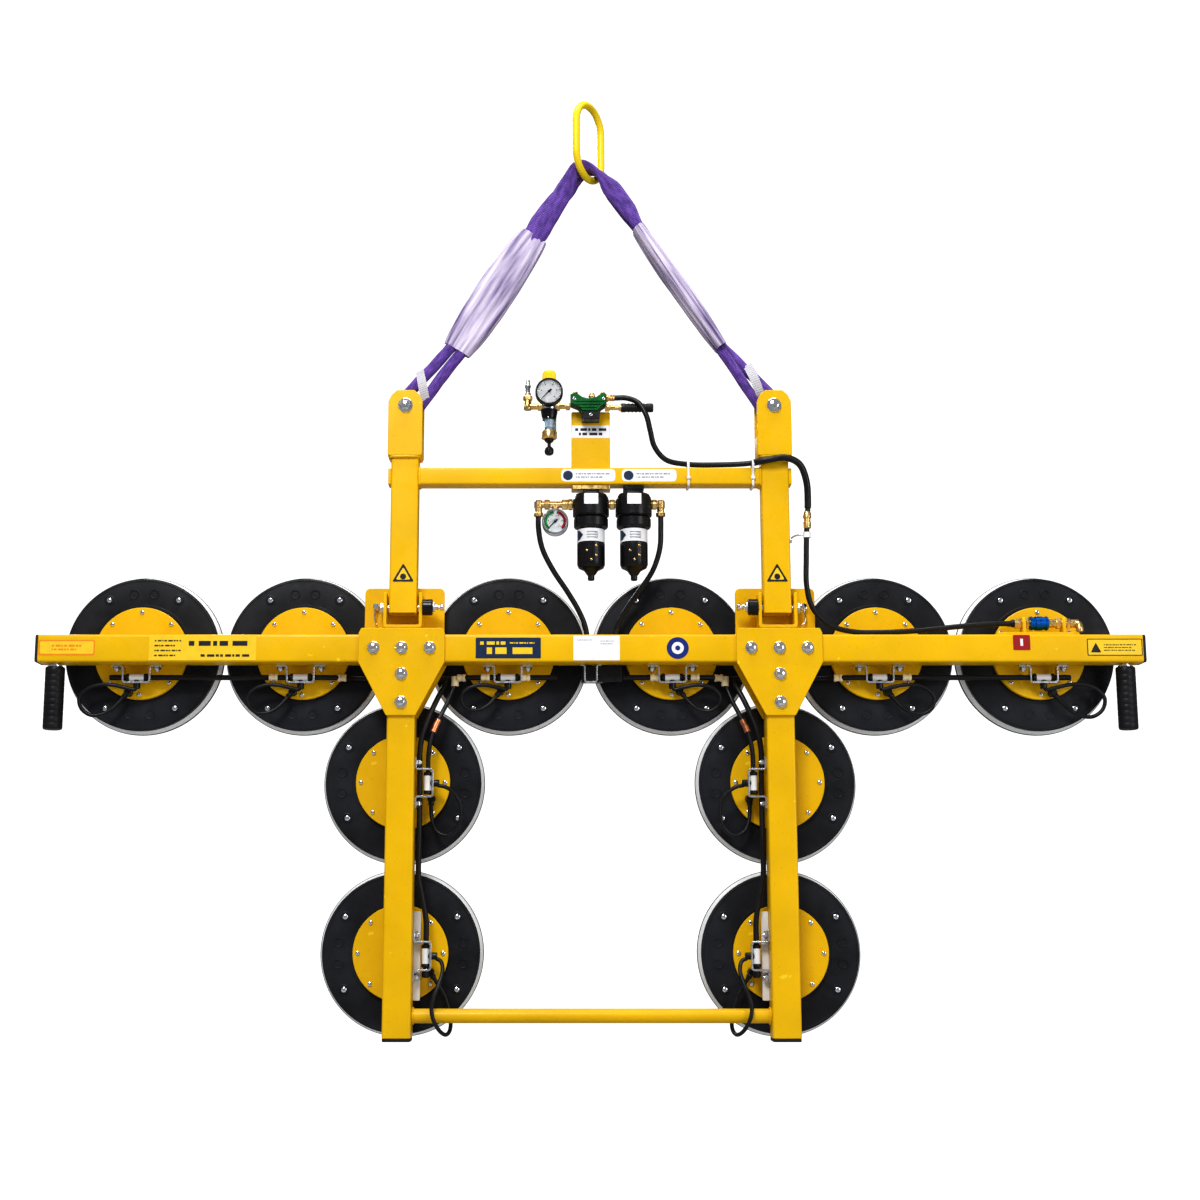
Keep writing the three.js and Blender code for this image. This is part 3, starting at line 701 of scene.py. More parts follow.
def make_sling():
    route = [(x, y, z + HOOK_Z) for x, y, z in SLING_ROUTE]
    hook = Vector((0, 0, HOOK_Z - 140))
    path, halves, crown = [], [], []
    for p in curve_points(route, 8, loop=True):
        far = (p - hook).length
        near = 1 - ramp_between(far, 15, 62)
        spread = p.y * 0.75 * near
        path.append(p + Vector((0, spread, 0)) + (on_bow(p.y + spread) - on_bow(p.y)) * near)
        crown.append(near)
        narrow = ramp_between(far, 120, 230) * 7 if p.x < 0 else ramp_between(far, 80, 150) * 8
        halves.append((7.8 + 3.4 * near, 6.2 + 11.6 * ramp_between(far, 18, 50) - narrow))

    shape = Shape().tube(path, lambda t: halves[round(t * (len(path) - 1))], 24, loop=True)
    for index, vert in enumerate(shape.verts):
        ring = index // 24
        centre = path[ring]
        vert += (vert - centre) * 0.10 * noise.noise(vert * 0.045)
        vert += (on_bow(vert.y) - on_bow(centre.y)) * crown[ring]
    piece = build("round_sling_webbing", shape, SLING, "bail", "round_sling", angle=60)
    line = path + path[:1]
    tuple(metres(line[0]))
    route_length(line)
    [tuple(metres(p)) for p in line]


make_hoses()
make_sling()

# ---------- rigging ----------


def make_link():
    points = []
    for bow, start in zip(LINK_BOWS, (0, math.pi)):
        for k in range(25):
            a = start + math.pi * k / 24
            points.append(Vector((LINK_HALF * math.cos(a), 0, bow + HOOK_Z + LINK_HALF * math.sin(a))))
    turn = Matrix.Rotation(math.radians(LINK_TURN), 4, "Z")
    points = [turn @ p for p in points]
    normal = turn @ Vector((0, 1, 0))
    shape = Shape().tube(points, LINK_BAR, 24, loop=True, wide=normal)
    build("master_link_bar", shape, LINK_PAINT, "bail", "master_link", angle=60)


def make_sleeve(name, side, start, end, flat_in_y, end_half, middle_half, thick_half):
    """A wear sleeve: a flattened cloth tube round both strands, creased along its length."""
    start, end = (Vector((x, 0, z + HOOK_Z)) for x, z in (start, end))
    along = (end - start).normalized()
    in_y = Vector((0, 1, 0))
    wide = in_y if flat_in_y else along.cross(in_y)
    thin = along.cross(wide)
    steps, sides, cloth = 70, 64, 2.0
    measured = 30  # the ring whose length round_it measures
    outer, inner, uvs = [], [], {}
    length = (end - start).length
    for i in range(steps + 1):
        t = i / steps
        half = end_half + (middle_half - end_half) * math.sin(math.pi * t) ** 0.7
        thick = thick_half * (0.68 + 0.32 * math.sin(math.pi * t) ** 0.7)
        centre = start.lerp(end, t)
        for k, (a, b) in enumerate(circle(1, sides)):
            flatness = 1 / (abs(a) ** 2.6 + abs(b) ** 2.6) ** (1 / 2.6)
            seed = Vector((a * 2.4 + side * 7, b * 2.4, t * 2.2))
            crease = 2.2 * noise.noise(seed * 1.6) + 1.9 * noise.noise(Vector((a * 6, b * 6, t * 3 + side)))
            gather = 1.2 * noise.noise(Vector((a * 9, b * 9, side))) * abs(2 * t - 1) ** 3
            reach = Vector((a * half, b * thick)) * flatness * 0.97
            point = centre + wide * reach.x + thin * reach.y
            out = (wide * a + thin * b * 1.6).normalized()
            outer.append(point + out * (crease + gather))
            inner.append(outer[-1] - out * cloth)
            uvs[i * sides + k] = (t * length / 1000, k / sides)
    shape = Shape()
    ring = [outer[i * sides : (i + 1) * sides] for i in range(steps + 1)]
    hollow = [inner[i * sides : (i + 1) * sides] for i in range(steps, -1, -1)]
    shape.rings(ring + hollow, loop=True)
    shape.uvs = uvs
    for i in range(steps + 1):
        for k in range(sides):
            shape.uvs[(2 * steps + 1 - i) * sides + k] = uvs[i * sides + k]
    piece = build(f"{name}_cloth", shape, SLEEVE, "bail", name, angle=70)
    round_it = sum((b - a).length for a, b in zip(ring[measured], ring[measured][1:]))


def make_tag(name, start, bow):
    """A pale tag folded over a strand above the lug."""
    shape = Shape()
    rings = []
    for k in range(15):
        t = k / 14
        centre = Vector((start[0] + bow * t, -4 - 10 * math.sin(t * 3), HOOK_Z + start[1] - 60 * t))
        across = Vector((0.75, -0.35 + 0.5 * t, 0.3)).normalized() * 8.5
        over = across.cross(Vector((0, 0, 1))).normalized() * 0.5
        rings.append(
            [centre - across - over, centre + across - over, centre + across + over, centre - across + over]
        )
        for j in range(4):
            shape.uvs[k * 4 + j] = (t * 0.06, j / 4)
    shape.rings(rings)
    build(name, shape, TAG, "bail")


make_link()
make_sleeve("sleeve_left", -1, (-105, -255), (-249, -482.6), False, 28, 38, 14)
make_sleeve("sleeve_right", 1, (93.3, -241.6), (248.2, -478), True, 26, 31, 17)
make_tag("sling_tag", (-318, -524), 12)
make_tag("sling_tag_right", (296, -512), 24)

# ---------- fasteners and labels ----------


def hex_bolt(across=17, head=7, washer=11):
    """A flanged hex bolt facing -Y, seated at the origin."""
    shape = Shape().turn([(washer, 0), (washer, -1.2), (washer - 0.8, -1.8)], axis="y", sides=28)
    shape.join(Shape().hex(across, -1.8, -1.8 - head))
    r = across * 0.42
    dome = [(r, -1.6 - head), (r * 0.8, -2.4 - head), (0, -2.7 - head)]
    return shape.join(Shape().turn(dome, axis="y", sides=24))


def socket_screw(radius=4.2, head=2.6):
    """A button-head socket screw facing -Y, seated at the origin."""
    r = radius
    rise = [
        (r, 0.2), (r, -0.4), (r * 0.86, -head * 0.75), (r * 0.55, -head), (r * 0.42, -head), (r * 0.38, -0.5)
    ]
    return Shape().turn(rise, axis="y", sides=24)


def scatter(name, shape, places, material, body="frame"):
    """Copies of one fastener at (x, y, z) places, each turned a little further, all in one piece."""
    joined = Shape()
    for index, place in enumerate(places):
        spin = Matrix.Rotation(index * 1.9 % 1.047, 4, "Y")
        joined.join(shape.copy().moved(Matrix.Translation(place) @ spin))
    return build(name, joined, material, body, angle=30)


def label(name, outline, y, material, body="frame", slot="yellow_paint", thick=0.35):
    """A film or plate with an outline in (x, z), facing -Y with its back at y."""
    return build(name, Shape().plate(outline, y - thick, y + 0.1), material, body, slot=slot, angle=50)


def block(x0, x1, z0, z1, corner=1.5):
    return rounded([(x0, z0), (x1, z0), (x1, z1), (x0, z1)], corner, 3)


def disc(x, z, radius, count=40):
    return [(x + a, z + b) for a, b in circle(radius, count)]


def bars(name, rows, y, material, body="frame", slot="yellow_paint"):
    """Plain printed bars, (x0, x1, z0, z1) each, standing for small print."""
    shape = Shape()
    for x0, x1, z0, z1 in rows:
        shape.plate(block(x0, x1, z0, z1, 0.4), y - 0.15, y + 0.1)
    return build(name, shape, material, body, slot=slot)


# ---------- pad frame ----------


def make_beam():
    end = BEAM_HALF.x
    cap = 5
    build("main_beam_tube", bar("x", -end + cap, end - cap, 0, 0, HALF, HALF), YELLOW, "frame", "main_beam")
    for name, s in SIDES:
        plug = Shape().turn([(20, s * (end - cap - 2)), (20, s * (end - 3))], axis="x")
        plug.plate(
            [(y * 0.99, z * 0.99) for y, z in box_outline(HALF, HALF, 5)], s * (end - cap), s * end, "x"
        )
        build(f"beam_end_plug_{name}", plug, BLACK_MATT, bevel=1.2)


def make_columns():
    for name, s in SIDES:
        x = s * COLUMN_X
        column = bar("z", FOOT_Z + 6, -HALF - 0.3, x, 0, HALF, HALF)
        build(f"column_{name}_tube", column, YELLOW, "frame", f"column_{name}")
        foot = Shape().plate(
            rectangle(HALF * 0.985, HALF * 0.985, lambda u, v: (x + u, v)), FOOT_Z, FOOT_Z + 6, "z"
        )
        build(f"column_foot_{name}", foot, BLACK_MATT, bevel=1.2)
        ring = rectangle(HALF + 0.6, HALF + 0.6, lambda u, v: (x + u, v, -HALF - 0.5))
        build(f"column_weld_{name}", weld(ring), YELLOW)


def make_tie_bar():
    reach = COLUMN_X - HALF - 0.3
    low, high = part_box("tie_bar")
    z = spot("tie_bar")[0].z
    r = (high.z - low.z) * 500
    rod = [(r, reach * (k / 12 - 1)) for k in range(25)]
    shape = Shape().turn(rod, (0, 0, z), "x", 36)
    build("tie_bar_tube", shape, YELLOW, "frame", "tie_bar")
    for name, s in SIDES:
        ring = [(s * (reach - 1.5), y, z + up) for y, up in circle(r * 1.04, 16)]
        build(f"tie_bar_weld_{name}", weld(ring, 2.4), YELLOW)


GUSSET_BOLTS = [(-51, 0), (0, 0), (51, 0), (0, -47.5), (0, -99)]
TAPER = [(-26.5, -123), (26.5, -123), (78, -26)]


def make_gussets():
    for name, s in SIDES:
        x = s * COLUMN_X
        front = TAPER + [(78, 27), (73.5, 36), (-73.5, 36), (-78, 27), (-78, -26)]
        front = rounded([(x + a, b) for a, b in front], 2.5, 3)
        plate = Shape().plate(front, GUSSET_FRONT, GUSSET_FRONT + PLATE)
        build(f"gusset_{name}_plate", plate, YELLOW, "frame", f"gusset_{name}", bevel=1.0)
        places = [(x + a, GUSSET_FRONT, b) for a, b in GUSSET_BOLTS]
        scatter(f"gusset_bolts_{name}", hex_bolt(17, 6, 11.2), places, CHROME)
        behind = [(x + a, BRACKET_BACK, b) for a, b in GUSSET_BOLTS]
        nut = Shape().hex(17, 0, 7).join(Shape().turn([(5, 0), (5, 9.5), (4.2, 10.3)], axis="y", sides=20))
        scatter(f"gusset_nuts_{name}", nut, behind, ZINC)


def make_hinge_brackets():
    ear_in, ear_out = 29.5, 35.5
    web, ear_front, ear_top = (38, 44), -20, 104
    for name, s in SIDES:
        x = s * COLUMN_X
        edge = [
            (78, -26), (78, 27), (73.5, 36), (73.5, BRACKET_TOP - 8), (71, BRACKET_TOP - 2.5),
            (65.5, BRACKET_TOP),
        ]
        back = [(-26.5, -123), (26.5, -123)] + edge + [(-a, b) for a, b in reversed(edge)]
        rear = Shape().plate(rounded([(x + a, b) for a, b in back], 2, 3), BRACKET_BACK - PLATE, BRACKET_BACK)
        build(f"hinge_plate_{name}", rear, YELLOW, "frame", f"hinge_bracket_{name}", bevel=0.9)
        clevis = []
        for a, b in ((-ear_out, ear_top), (-ear_out, web[0]), (ear_out, web[0]), (ear_out, ear_top)):
            clevis.append((x + a, b))
        for a, b in ((ear_in, ear_top), (ear_in, web[1]), (-ear_in, web[1]), (-ear_in, ear_top)):
            clevis.append((x + a, b))
        shape = Shape().plate(rounded(clevis, [2, 6, 6, 2, 2, 3, 3, 2], 3), ear_front, BRACKET_BACK - PLATE)
        build(f"hinge_clevis_{name}", shape, YELLOW, bevel=0.8)
        inner = -s
        at = (x, LATCH.y, LATCH.z)
        sleeve = [(14, 35.7), (15, 36.7), (15, 52.6), (14, 54), (6, 54), (0, 53)]
        body = Shape().turn([(r, inner * h) for r, h in sleeve], at, "x", 40)
        build(f"latch_housing_{name}", body, BLACK, bevel=0.5)
        nut = Shape().hex(17, inner * 54, inner * 58.5, at, "x")
        build(f"latch_nut_{name}", nut, ZINC)
        make_hinge_pin(name, s, x)
        make_latch(name, inner, at)
        make_keeper(name, s, x)


def make_hinge_pin(name, s, x):
    at = (x, PIN.y, PIN.z)
    inner_end = -35.2
    shank = [(7, inner_end), (8, inner_end + 1), (8, 35.6)]
    shape = Shape().turn([(r, s * h) for r, h in shank], at, "x", 28)
    shape.turn([(12.5, s * 35.7), (12.5, s * 37.4)], at, "x", 32)
    shape.hex(20, s * 37.4, s * 43.5, at, "x")
    build(f"hinge_pin_{name}_bolt", shape, ZINC, "frame", f"hinge_pin_{name}")


def make_latch(name, inner, at):
    """The spring latch's plunger: pin, chrome stud and pull knob."""
    pin = [(3.4, 26.8), (4, 27.6), (4, 60), (5.4, 60), (5.4, 63), (3.6, 64), (3.6, 67)]
    knob = [(6.2, 68), (6.6, 69), (6.6, 72.6), (5.6, 74)]
    shape = Shape().turn([(r, inner * h) for r, h in pin + knob], at, "x", 28)
    build(f"latch_{name}_plunger", shape, CHROME, f"latch_{name}", f"latch_{name}")


def make_keeper(name, s, x):
    """A small chrome stud on the hinge plate's outer side, with its safety pin hanging from it."""
    front = BRACKET_BACK - PLATE
    centre = Vector((x + s * 52, front, 84))
    stud = [(6.5, 0), (6.5, -2), (4, -3), (4, -9), (5.2, -10), (5.2, -13), (4, -14.5), (0, -15)]
    build(f"pin_stud_{name}", Shape().turn(stud, centre, "y", 24), CHROME)
    wire = [(0, -7, 4.8), (0, -11, 0), (s, -12, -8), (s * 2, -11, -22), (0, -10, -32), (-s * 3, -10, -34)]
    path = curve_points([centre + Vector(p) for p in wire], 6)
    build(f"safety_pin_{name}", Shape().tube(path, 1.4, 10), ZINC)


def make_grips():
    for name, _ in SIDES:
        centre, half = spot(f"grip_{name}")
        top, foot = -31, centre.z - half.z
        r = half.x
        outline = [(r - 4, foot), (r - 1, foot + 1.2), (r, foot + 4)]
        for k in range(9):
            z = foot + 12 + k * 11
            outline += [(r, z - 1.2), (r - 0.25, z - 0.6), (r - 0.25, z + 0.6), (r, z + 1.2)]
        outline += [(r, top - 3), (r - 1, top - 1), (r - 3, top)]
        at = (centre.x, 0, 0)
        build(f"grip_{name}_rubber", Shape().turn(outline, at, "z", 48), GRIP_RUBBER, "frame", f"grip_{name}")
        collar = Shape().turn([(13, top), (13, top + 2), (9, top + 3), (9, -HALF)], at, "z", 32)
        build(f"grip_collar_{name}", collar, ZINC)


make_beam()
make_columns()
make_tie_bar()
make_gussets()
make_hinge_brackets()
make_grips()

# ---------- pads ----------
SCREW_CIRCLE = 76.7
BOLT_CIRCLE = 120
BOLT_SPREAD = 32.5


def pad_cup():
    """The moulded rubber back, round its own centre line: ribs, bosses, recesses and sealing face."""
    back = PAD_BACK
    profile = [(87, back), (88, back - 0.9), (92, back - 0.9), (93, back), (104, back), (130, back)]
    r = PAD_RADIUS
    profile += [
        (r - 7, back + 0.8), (r - 5, back + 0.8), (r - 4, back), (r - 1.5, back + 0.4), (r, back + 2.2)
    ]
    profile += [(r, 64), (r - 1.5, 66), (r - 1.5, 67)]
    shape = Shape().turn(profile, axis="y", sides=120)
    boss = [(6.5, 0.2), (6.5, -0.9), (7.1, -1.2), (8.5, -1.2), (9.1, -0.6), (9.1, 0.2)]
    for degrees in (-9.5, 9.5, 170.5, 189.5):
        centre = polar(114, degrees)
        shape.turn(boss, (centre.x, back, centre.z), "y", 28)
    for degrees in range(15, 360, 30):
        if not 40 < abs(degrees % 180 - 90) < 80:
            shape.join(spoke(degrees, 97, 131, 1.4, back))
    return shape


def polar(radius, degrees):
    """A point on a circle in the pad's plane; 0 degrees is up."""
    a = math.radians(degrees)
    return Vector((radius * math.sin(a), 0, radius * math.cos(a)))


def spoke(degrees, r0, r1, half, back):
    """A low moulded rib along a radius."""
    outline = rounded([(-half, r0), (half, r0), (half, r1), (-half, r1)], half * 0.9, 3)
    rib = Shape().plate(outline, back + 0.3, back - 0.8)
    return rib.moved(Matrix.Rotation(math.radians(degrees), 4, "Y"))


def pad_seal():
    """The flared band behind the disc, painted pale grey as the bright floor's reflection on black rubber."""
    r = PAD_RADIUS
    outline = [(r - 2, 65.8), (r, 66), (r + 2.2, 69.5), (r + 4, 74.5), (r + 5, 78.4), (r + 4, 79.2)]
    return Shape().turn(outline, axis="y", sides=120)


def pad_face():
    """The suction side: lip, ridged face and the port's filter boss."""
    r = LIP_RADIUS
    outline = [(r - 1, 78.8), (r, 79.8), (r, 84), (r - 1, PAD_FACE), (r - 5, PAD_FACE)]
    outline += [
        (r - 6.5, PAD_FACE - 1), (r - 8, PAD_FACE), (r - 13.5, PAD_FACE), (r - 15, PAD_FACE - 0.6),
        (r - 19, 81.5),
    ]
    for ring in (112, 92, 72, 52, 32):
        outline += [(ring + 3, 81.5), (ring + 2, 82.7), (ring - 2, 82.7), (ring - 3, 81.5)]
    outline += [(17, 81.5), (16, 83.4), (9, 83.4), (8, 82.2)]
    return Shape().turn(outline, axis="y", sides=120)


def pad_disc():
    """The yellow pad plate with its stem boss."""
    outline = [(20, DISC_FRONT - 2), (22, DISC_FRONT), (DISC_RADIUS - 1.2, DISC_FRONT)]
    outline += [(DISC_RADIUS, DISC_FRONT + 1.2), (DISC_RADIUS, 50), (DISC_RADIUS - 1, 51)]
    return Shape().turn(outline, axis="y", sides=96)


def coil(radius, wire, y0, y1, turns):
    """A spring along Y whose end turns lie flat."""
    around, flat = 20, 12
    count = turns * around
    points = []
    for k in range(count + 1):
        a = 2 * math.pi * k / around
        t = min(max((k - flat) / (count - 2 * flat), 0), 1)
        points.append(Vector((radius * math.cos(a), y0 + (y1 - y0) * t, radius * math.sin(a))))
    return Shape().tube(points, wire, 10, wide=(0, 1, 0))


def make_pads():
    stem = Shape().turn([(7, 15.2), (8, 16.2), (8, DISC_FRONT - 2)], axis="y", sides=28)
    screws = Shape()
    for k in range(8):
        place = polar(SCREW_CIRCLE, 45 * k)
        screws.join(socket_screw(4.4, 3).moved(Matrix.Translation((place.x, DISC_FRONT, place.z))))
    well = [(9.6, 0.3), (9.6, -0.6), (8.8, -1.1), (7.4, -1.1), (7, 0.1)]
    wells, bolts = Shape(), Shape()
    for degrees in (BOLT_SPREAD, -BOLT_SPREAD, 180 + BOLT_SPREAD, 180 - BOLT_SPREAD):
        place = polar(BOLT_CIRCLE, degrees)
        wells.turn(well, (place.x, PAD_BACK, place.z), "y", 32)
        bolts.join(socket_screw(5.4, 3.4).moved(Matrix.Translation((place.x, PAD_BACK + 0.1, place.z))))
    parts = {
        "cup": (pad_cup(), PAD_RUBBER),
        # the seal band is painted pale grey as a reflection of the bright floor on black rubber
        "seal_band": (pad_seal(), LIP_REFLECTION_PAINT),
        "lip": (pad_face(), PAD_RUBBER),
        "disc": (pad_disc(), YELLOW),
        "stem": (stem, ZINC),
        "screws": (screws, CHROME),
        "wells": (wells, PAD_RUBBER),
        "rim_bolts": (bolts, CHROME),
    }
    nodes = {"cup": "pad_cup", "disc": "pad_plate"}
    first = {}
    for number, (centre, _) in enumerate(PADS, 1):
        body = f"pad_{number}"
        x, z = centre.x, centre.z
        at = (x, 0, z)
        turned = 0.0 if number <= BEAM_PADS else math.pi / 2
        for part, (shape, material) in parts.items():
            name = f"{body}_{part}"
            if part in first:
                piece = copy_of(first[part], name, at, body, turned)
                slot_of(material)
            else:
                piece = first[part] = build(name, shape, material, body, at=at)
            if part in nodes:
                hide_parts(f"{nodes[part]}_{number}")
        spring = build(f"pad_{number}_spring", coil(12, 1.5, 27.2, DISC_FRONT - 3.4, 4), ZINC, at=at)
        bpy.context.view_layer.update()
        anchor = tuple(metres((x, 26, z)))
        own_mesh(spring)


make_pads()

# ---------- bail ----------


def open_tube(a0, a1, x, half_u, half_v, wall=4.8, depth=60):
    """An upright tube with rounded corners, open at a0."""
    def ring(z, inset, corner):
        return [(x + p, q, z) for p, q in box_outline(half_u - inset, half_v - inset, corner)]

    steps = round(abs(a1 - a0) / 60)
    rings = [
        ring(a0 + depth, wall, 2), ring(a0 + 0.8, wall, 2), ring(a0, wall - 0.8, 2.5), ring(a0, 0.8, 4.5)
    ]
    rings += [ring(a0 + 0.8, 0, 5)] + [ring(a0 + (a1 - a0) * k / steps, 0, 5) for k in range(1, steps + 1)]
    return Shape().rings(rings)


def drill(piece, holes):
    """Cuts round holes along X out of a finished piece: each has its two ends, y, z and radius."""
    cutter = Shape()
    for (x0, x1), y, z, radius in holes:
        cutter.turn([(radius, x0), (radius, x1)], (0, y, z), "x", 32)
    tool = build(f"{piece.name}_holes", cutter, YELLOW, None, slot="")
    modifier = piece.modifiers.new("holes", "BOOLEAN")
    modifier.operation = "DIFFERENCE"
    modifier.object = tool
    bpy.context.view_layer.update()
    drilled = bpy.data.meshes.new_from_object(piece.evaluated_get(bpy.context.evaluated_depsgraph_get()))
    drilled.set_sharp_from_angle(angle=math.radians(34))
    piece.modifiers.clear()
    piece.data = drilled
    bpy.data.objects.remove(tool)


LATCH_HOLE = 4.5
# the latch finds the first of these (y, z) with the frame upright and the second with it flat
LATCH_HOLES = [(-11, 77.4), (6, 94.4)]


def make_legs():
    for name, s in SIDES:
        x = s * COLUMN_X
        leg = open_tube(LEG_FOOT, LUG_FOOT + 25, x, HALF, LEG_DEPTH)
        leg = build(f"bail_leg_{name}_tube", leg, YELLOW, "bail", f"bail_leg_{name}")
        drill(leg, [(sorted((x - s * 10, x - s * 35)), y, z, LATCH_HOLE) for y, z in LATCH_HOLES])
        w = LUG_HALF.x
        right = [(w, LUG_FOOT), (w, 463), (26, 476), (16, LEG_TOP)]
        outline = rounded([(x + a, b) for a, b in right] + [(x - a, b) for a, b in reversed(right)], 4, 3)
        lug = Shape()
        for y0, y1 in ((-LUG_HALF.y, -LEG_DEPTH - 0.2), (LEG_DEPTH + 0.2, LUG_HALF.y)):
            lug.plate(outline, y0, y1)
        build(f"lug_plates_{name}", lug, YELLOW, "bail", bevel=1.1)
        sides = Shape()
        for side in (-1, 1):
            a, b = sorted((x + side * (HALF + 0.2), x + side * w))
            outline = rounded([(a, LUG_FOOT), (b, LUG_FOOT), (b, LUG_SIDE_TOP), (a, LUG_SIDE_TOP)], 1, 2)
            sides.plate(outline, -LEG_DEPTH, LEG_DEPTH)
        build(f"lug_sides_{name}", sides, YELLOW, "bail", bevel=0.6)
        ring = rectangle(HALF + 2.4, LEG_DEPTH + 2.4, lambda u, v: (x + u, v, LUG_FOOT - 0.8))
        build(f"lug_weld_{name}", weld(ring, 3.4), YELLOW, "bail")
        ends = sorted((s * (COLUMN_X + HALF), s * (COLUMN_X + HALF + 5.5)))
        stub = bar("x", *ends, 0, 322.5, 15.5, 15.5, 3)
        build(f"cross_stub_{name}", stub, YELLOW, "bail")
        make_sling_bolt(name, x)


def make_sling_bolt(name, x):
    at = (x, 0, BOLT_Z)
    face = -LUG_HALF.y
    shape = hex_bolt(20, 7.5, 13.6).moved(Matrix.Translation((x, face, BOLT_Z)))
    shape.turn([(8, face), (8, 38), (7, 39.4)], at, "y", 32)
    shape.turn([(13.6, -face), (13.6, 27)], at, "y", 32)
    shape.hex(20, 27, 36, at)
    build(f"sling_bolt_{name}_set", shape, CHROME, "bail", f"sling_bolt_{name}", angle=30)


UNIT_PLATE = (-34, 38)


def make_cross_tube():
    reach = COLUMN_X - HALF - 0.3
    middle = (CROSS_FOOT + CROSS_TOP) / 2
    tube = bar("x", -reach, reach, 0, middle, LEG_DEPTH, (CROSS_TOP - CROSS_FOOT) / 2, 4)
    build("cross_tube_body", tube, YELLOW, "bail", "cross_tube")
    plate = Shape().plate(block(*UNIT_PLATE, CROSS_TOP - 4, UNIT_TOP, 3), -6, 0)
    build("unit_plate", plate, YELLOW, "bail", bevel=0.8)
    bead = weld([(x, -6.6, CROSS_TOP + 0.8) for x in range(-32, 37, 8)], 2.3, False)
    build("unit_plate_weld", bead, YELLOW, "bail")
    for name, s in SIDES:
        ring = rectangle(LEG_DEPTH - 1, 16.5, lambda u, v: (s * (reach - 1.2), u, middle + v))
        build(f"cross_tube_weld_{name}", weld(ring, 2.6), YELLOW, "bail")


make_legs()
make_cross_tube()

# ---------- air unit ----------
GAUGE_TICKS = 25
DIAL_START = 225
DIAL_SWEEP = 270
PRESSURE_DIAL = (-75.3, 473)
VACUUM_DIAL = (-64, 237)


def gauge(name, centre, radius, front, back, case, arcs=()):
    """A dial gauge facing -Y: case, dial with ticks and coloured arcs, and its glass."""
    x, z = centre
    at = (x, 0, z)
    r = radius
    shell = [(r - 1.5, back), (r, back - 2), (r, front + 2), (r - 1, front), (r - 3, front)]
    shell += [(r - 3.4, front + 1), (r - 3.4, front + 4.4)]
    build(f"{name}_case", Shape().turn(shell, at, "y", 64), case, "bail", name, slot="gauge_case")
    face = front + 4.3
    build(f"{name}_dial", Shape().turn([(r - 3.8, face), (r - 3.8, face - 0.4)], at, "y", 64), DIAL, "bail")
    ticks = Shape()
    for k in range(GAUGE_TICKS + 1):
        major = k % 5 == 0
        inner = r - (8.5 if major else 6.6)
        half = 0.5 if major else 0.26
        u, v = dial_axes(DIAL_START - DIAL_SWEEP * k / GAUGE_TICKS)
        corners = [
            u * inner - v * half, u * (r - 4.6) - v * half, u * (r - 4.6) + v * half, u * inner + v * half
        ]
        ticks.plate([(x + c.x, z + c.z) for c in corners], face - 0.6, face - 0.4)
        if major:
            c = u * (inner - 3)
            ticks.plate(
                block(x + c.x - 0.9, x + c.x + 0.9, z + c.z - 1, z + c.z + 1, 0.5), face - 0.6, face - 0.4
            )
    build(f"{name}_ticks", ticks, BLACK_INK, "bail", slot="gauge_case")
    for index, (a0, a1, ink) in enumerate(arcs):
        band = [polar_xz(x, z, r - 4.2, a0 + (a1 - a0) * k / 24) for k in range(25)]
        band += [polar_xz(x, z, r - 9.6, a1 + (a0 - a1) * k / 24) for k in range(25)]
        build(
            f"{name}_arc_{index + 1}", Shape().plate(band, face - 0.52, face - 0.4), ink, "bail",
            slot="gauge_case",
        )
    lens = [(0, front + 1), (r - 3.7, front + 1.6), (r - 3.7, front + 2.4), (0, front + 2.1)]
    build(f"{name}_glass", Shape().turn(lens, at, "y", 64), GLASS, "bail")


def dial_axes(degrees):
    """Directions outwards and across at an angle on a dial."""
    a = math.radians(degrees)
    return Vector((math.cos(a), 0, math.sin(a))), Vector((-math.sin(a), 0, math.cos(a)))


def polar_xz(x, z, radius, degrees):
    a = math.radians(degrees)
    return (x + radius * math.cos(a), z + radius * math.sin(a))


def needle(name, centre, y, length):
    """A dial needle resting at the lower left, with a hub and a tail."""
    x, z = centre
    u, v = dial_axes(DIAL_START)
    half = [(length, 0.3), (length * 0.3, 1.1), (0, 1.3), (-6, 1.8)]
    outline = half + [(p, -q) for p, q in reversed(half)]
    shape = Shape().plate(
        [(x + u.x * p + v.x * q, z + u.z * p + v.z * q) for p, q in outline], y - 0.3, y + 0.3
    )
    shape.turn(
        [(0, y + 0.6), (2.6, y + 0.6), (2.6, y - 0.5), (1.8, y - 0.9), (0, y - 0.9)], (x, 0, z), "y", 24
    )
    build(f"{name}_hand", shape, BLACK_INK, name, name, slot="needle")


def knurl(shape, radius, z0, z1, at, count=28):
    """Adds a ribbed band round Z."""
    outline = []
    for k in range(count * 2):
        r = radius if k % 2 else radius - 0.9
        outline.append((at[0] + r * math.cos(math.pi * k / count), at[1] + r * math.sin(math.pi * k / count)))
    return shape.plate(outline, z0, z1, "z")


